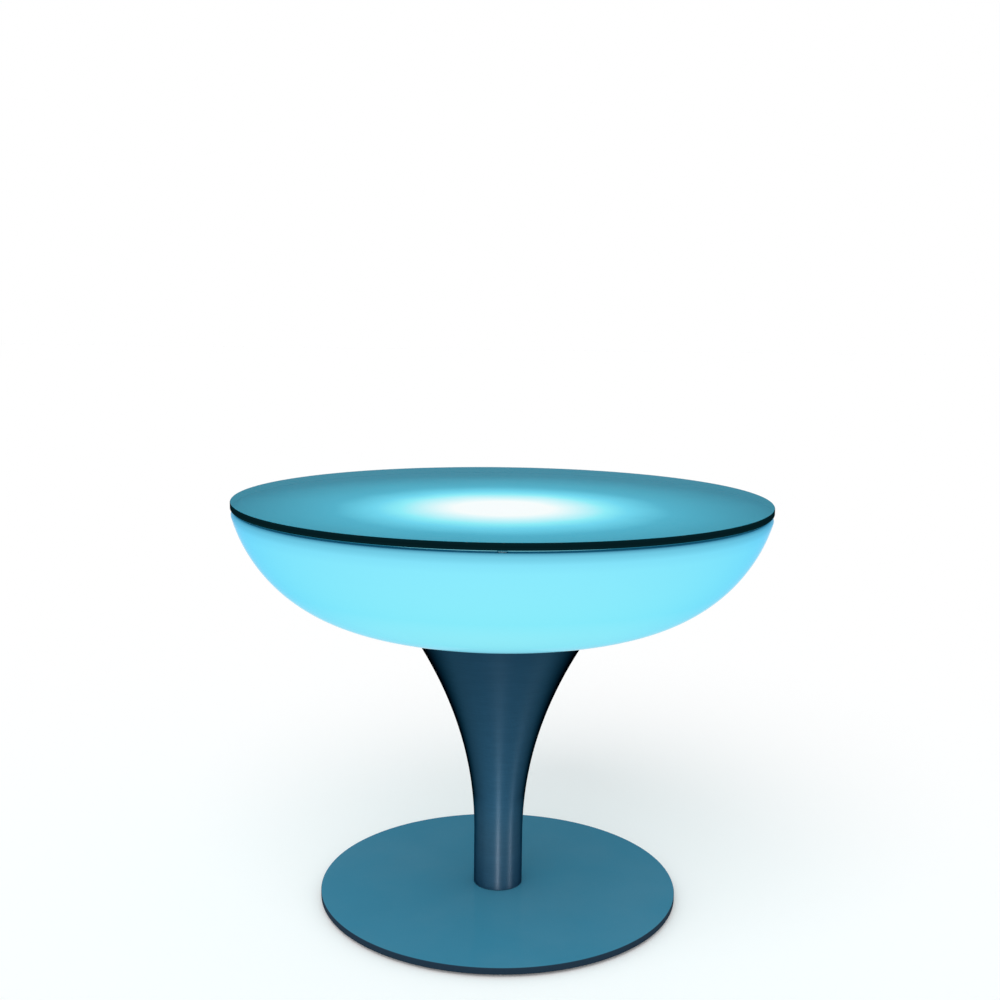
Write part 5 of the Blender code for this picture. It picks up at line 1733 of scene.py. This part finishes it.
socket_length = socket_high.x - socket_low.x
body_end = SOCKET_BODY_LENGTH - GAP
bore_end = socket_length - SOCKET_BORE_DEPTH
pin_end = socket_length - SOCKET_PIN_RECESS
socket_outline = [
    (0, 0), (SOCKET_SIDE, 0, 4), (SOCKET_SIDE, body_end, 4), (SOCKET_COLLAR_RADIUS, body_end),
    (SOCKET_COLLAR_RADIUS, socket_length), (SOCKET_BORE_RADIUS, socket_length),
    (SOCKET_BORE_RADIUS, bore_end), (SOCKET_PIN_RADIUS, bore_end), (SOCKET_PIN_RADIUS, pin_end - PIN_CHAMFER),
    (SOCKET_PIN_RADIUS - PIN_CHAMFER, pin_end), (0, pin_end),
]
socket_mesh = placed(
    turned_mesh("charging_socket", socket_outline, 64), Matrix.Rotation(math.radians(45), 4, "Z"),
    Matrix.Rotation(QUARTER_TURN, 4, "Y"), Matrix.Translation((socket_low.x, 0, socket_height)),
)
show("charging_socket", socket_mesh, "black_plastic", "dc_socket")
print("socket is", round(1000 * socket_length, 1), "mm long")

# %% Cap
CAP_RADIUS = 0.006
CAP_THICKNESS = 0.0018
CAP_NUB_RADIUS = 0.0025
CAP_DISH = 0.0004
CAP_STEP_OUTER, CAP_STEP_INNER = 0.62, 0.50
CAP_EDGES = (0, 0.0004, 0.0001, 0.0003, 0.0006, 0.0003, 0.0003, 0)
STRAP_WIDTH = 0.004
STRAP_THICKNESS = 0.0011
STRAP_EDGE = 0.0003
HINGE_RISE = 0.0085

cap_low, cap_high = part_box("socket_cap")
outer_face = cap_high.x
inner_face = outer_face - CAP_THICKNESS
dished_face = outer_face - CAP_DISH
hinge_height = socket_height + HINGE_RISE
cap_outline = rounded(
    [(0, cap_low.x), (CAP_NUB_RADIUS, cap_low.x), (CAP_NUB_RADIUS, inner_face), (CAP_RADIUS, inner_face),
     (CAP_RADIUS, outer_face), (CAP_STEP_OUTER * CAP_RADIUS, outer_face),
     (CAP_STEP_INNER * CAP_RADIUS, dished_face), (0, dished_face)],
    CAP_EDGES)
cap_mesh = placed(
    turned_mesh("rubber_cap", cap_outline, 64), Matrix.Rotation(QUARTER_TURN, 4, "Y"),
    Matrix.Translation((0, 0, socket_height)),
)
cap = show("rubber_cap", cap_mesh, "rubber", "socket_cap", body="cap")
strap = bar(
    "strap", (inner_face, -STRAP_WIDTH / 2, socket_height + CAP_RADIUS / 2),
    (inner_face + STRAP_THICKNESS, STRAP_WIDTH / 2, hinge_height), STRAP_EDGE,
)
knuckle = placed(
    turned_mesh("knuckle", disc(CAP_THICKNESS / 2, -STRAP_WIDTH / 2, STRAP_WIDTH / 2, STRAP_EDGE), 32),
    Matrix.Rotation(QUARTER_TURN, 4, "X"),
    Matrix.Translation(((inner_face + outer_face) / 2, 0, hinge_height)),
)
combine(cap, "UNION", [strap, knuckle])
print("cap:", len(cap.data.polygons), "faces")

# %% [markdown]
# The anchor is the small block above the strap. It stays where it is when the cap swings up.

# %% Strap anchor
ANCHOR_EDGE = 0.0005

anchor_mesh = bar("strap_anchor", *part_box("cap_anchor"), ANCHOR_EDGE)
show("strap_anchor", anchor_mesh, "rubber", "cap_anchor")
print("anchor:", len(anchor_mesh.polygons), "faces")

# %% [markdown]
# ## The battery cells
#
# A rechargeable cell is a steel can with a rolled groove near its button end, where the lid is crimped in.
# The sleeve shrinks over the shoulder at both ends. Each cell lies along Y, and the middle one the other
# way round, as cells that work in a row do.

# %% Cells
CELL_EDGES = (0, 0.0010, 0.0003, 0.0004, 0.0003, 0.0010, 0.0002, 0.0004, 0)
CELL_GROOVE_DEPTH = 0.0004
CELL_GROOVE_HALF = 0.0010
CELL_GROOVE_FROM_END = 0.0035
CELL_NUB_RADIUS = 0.003
CELL_NUB_HEIGHT = 0.0012

for index in range(1, 4):
    low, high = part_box(f"battery_cell_{index}")
    middle = (low + high) / 2
    radius = (high.x - low.x) / 2
    length = high.y - low.y
    can_end = length - CELL_NUB_HEIGHT
    groove = can_end - CELL_GROOVE_FROM_END
    cell_outline = rounded(
        [(0, 0), (radius, 0), (radius, groove - CELL_GROOVE_HALF), (radius - CELL_GROOVE_DEPTH, groove),
         (radius, groove + CELL_GROOVE_HALF), (radius, can_end), (CELL_NUB_RADIUS, can_end),
         (CELL_NUB_RADIUS, length), (0, length)],
        CELL_EDGES)
    way = 1 if index % 2 else -1
    cell_mesh = placed(
        turned_mesh(f"round_cell_{index}", cell_outline, 64), Matrix.Rotation(way * QUARTER_TURN, 4, "X"),
        Matrix.Translation((middle.x, way * length / 2, middle.z)),
    )
    show(f"round_cell_{index}", cell_mesh, "cell_wrap", f"battery_cell_{index}")
print("cells are", round(2000 * radius, 1), "mm thick and", round(1000 * length, 1), "mm long")
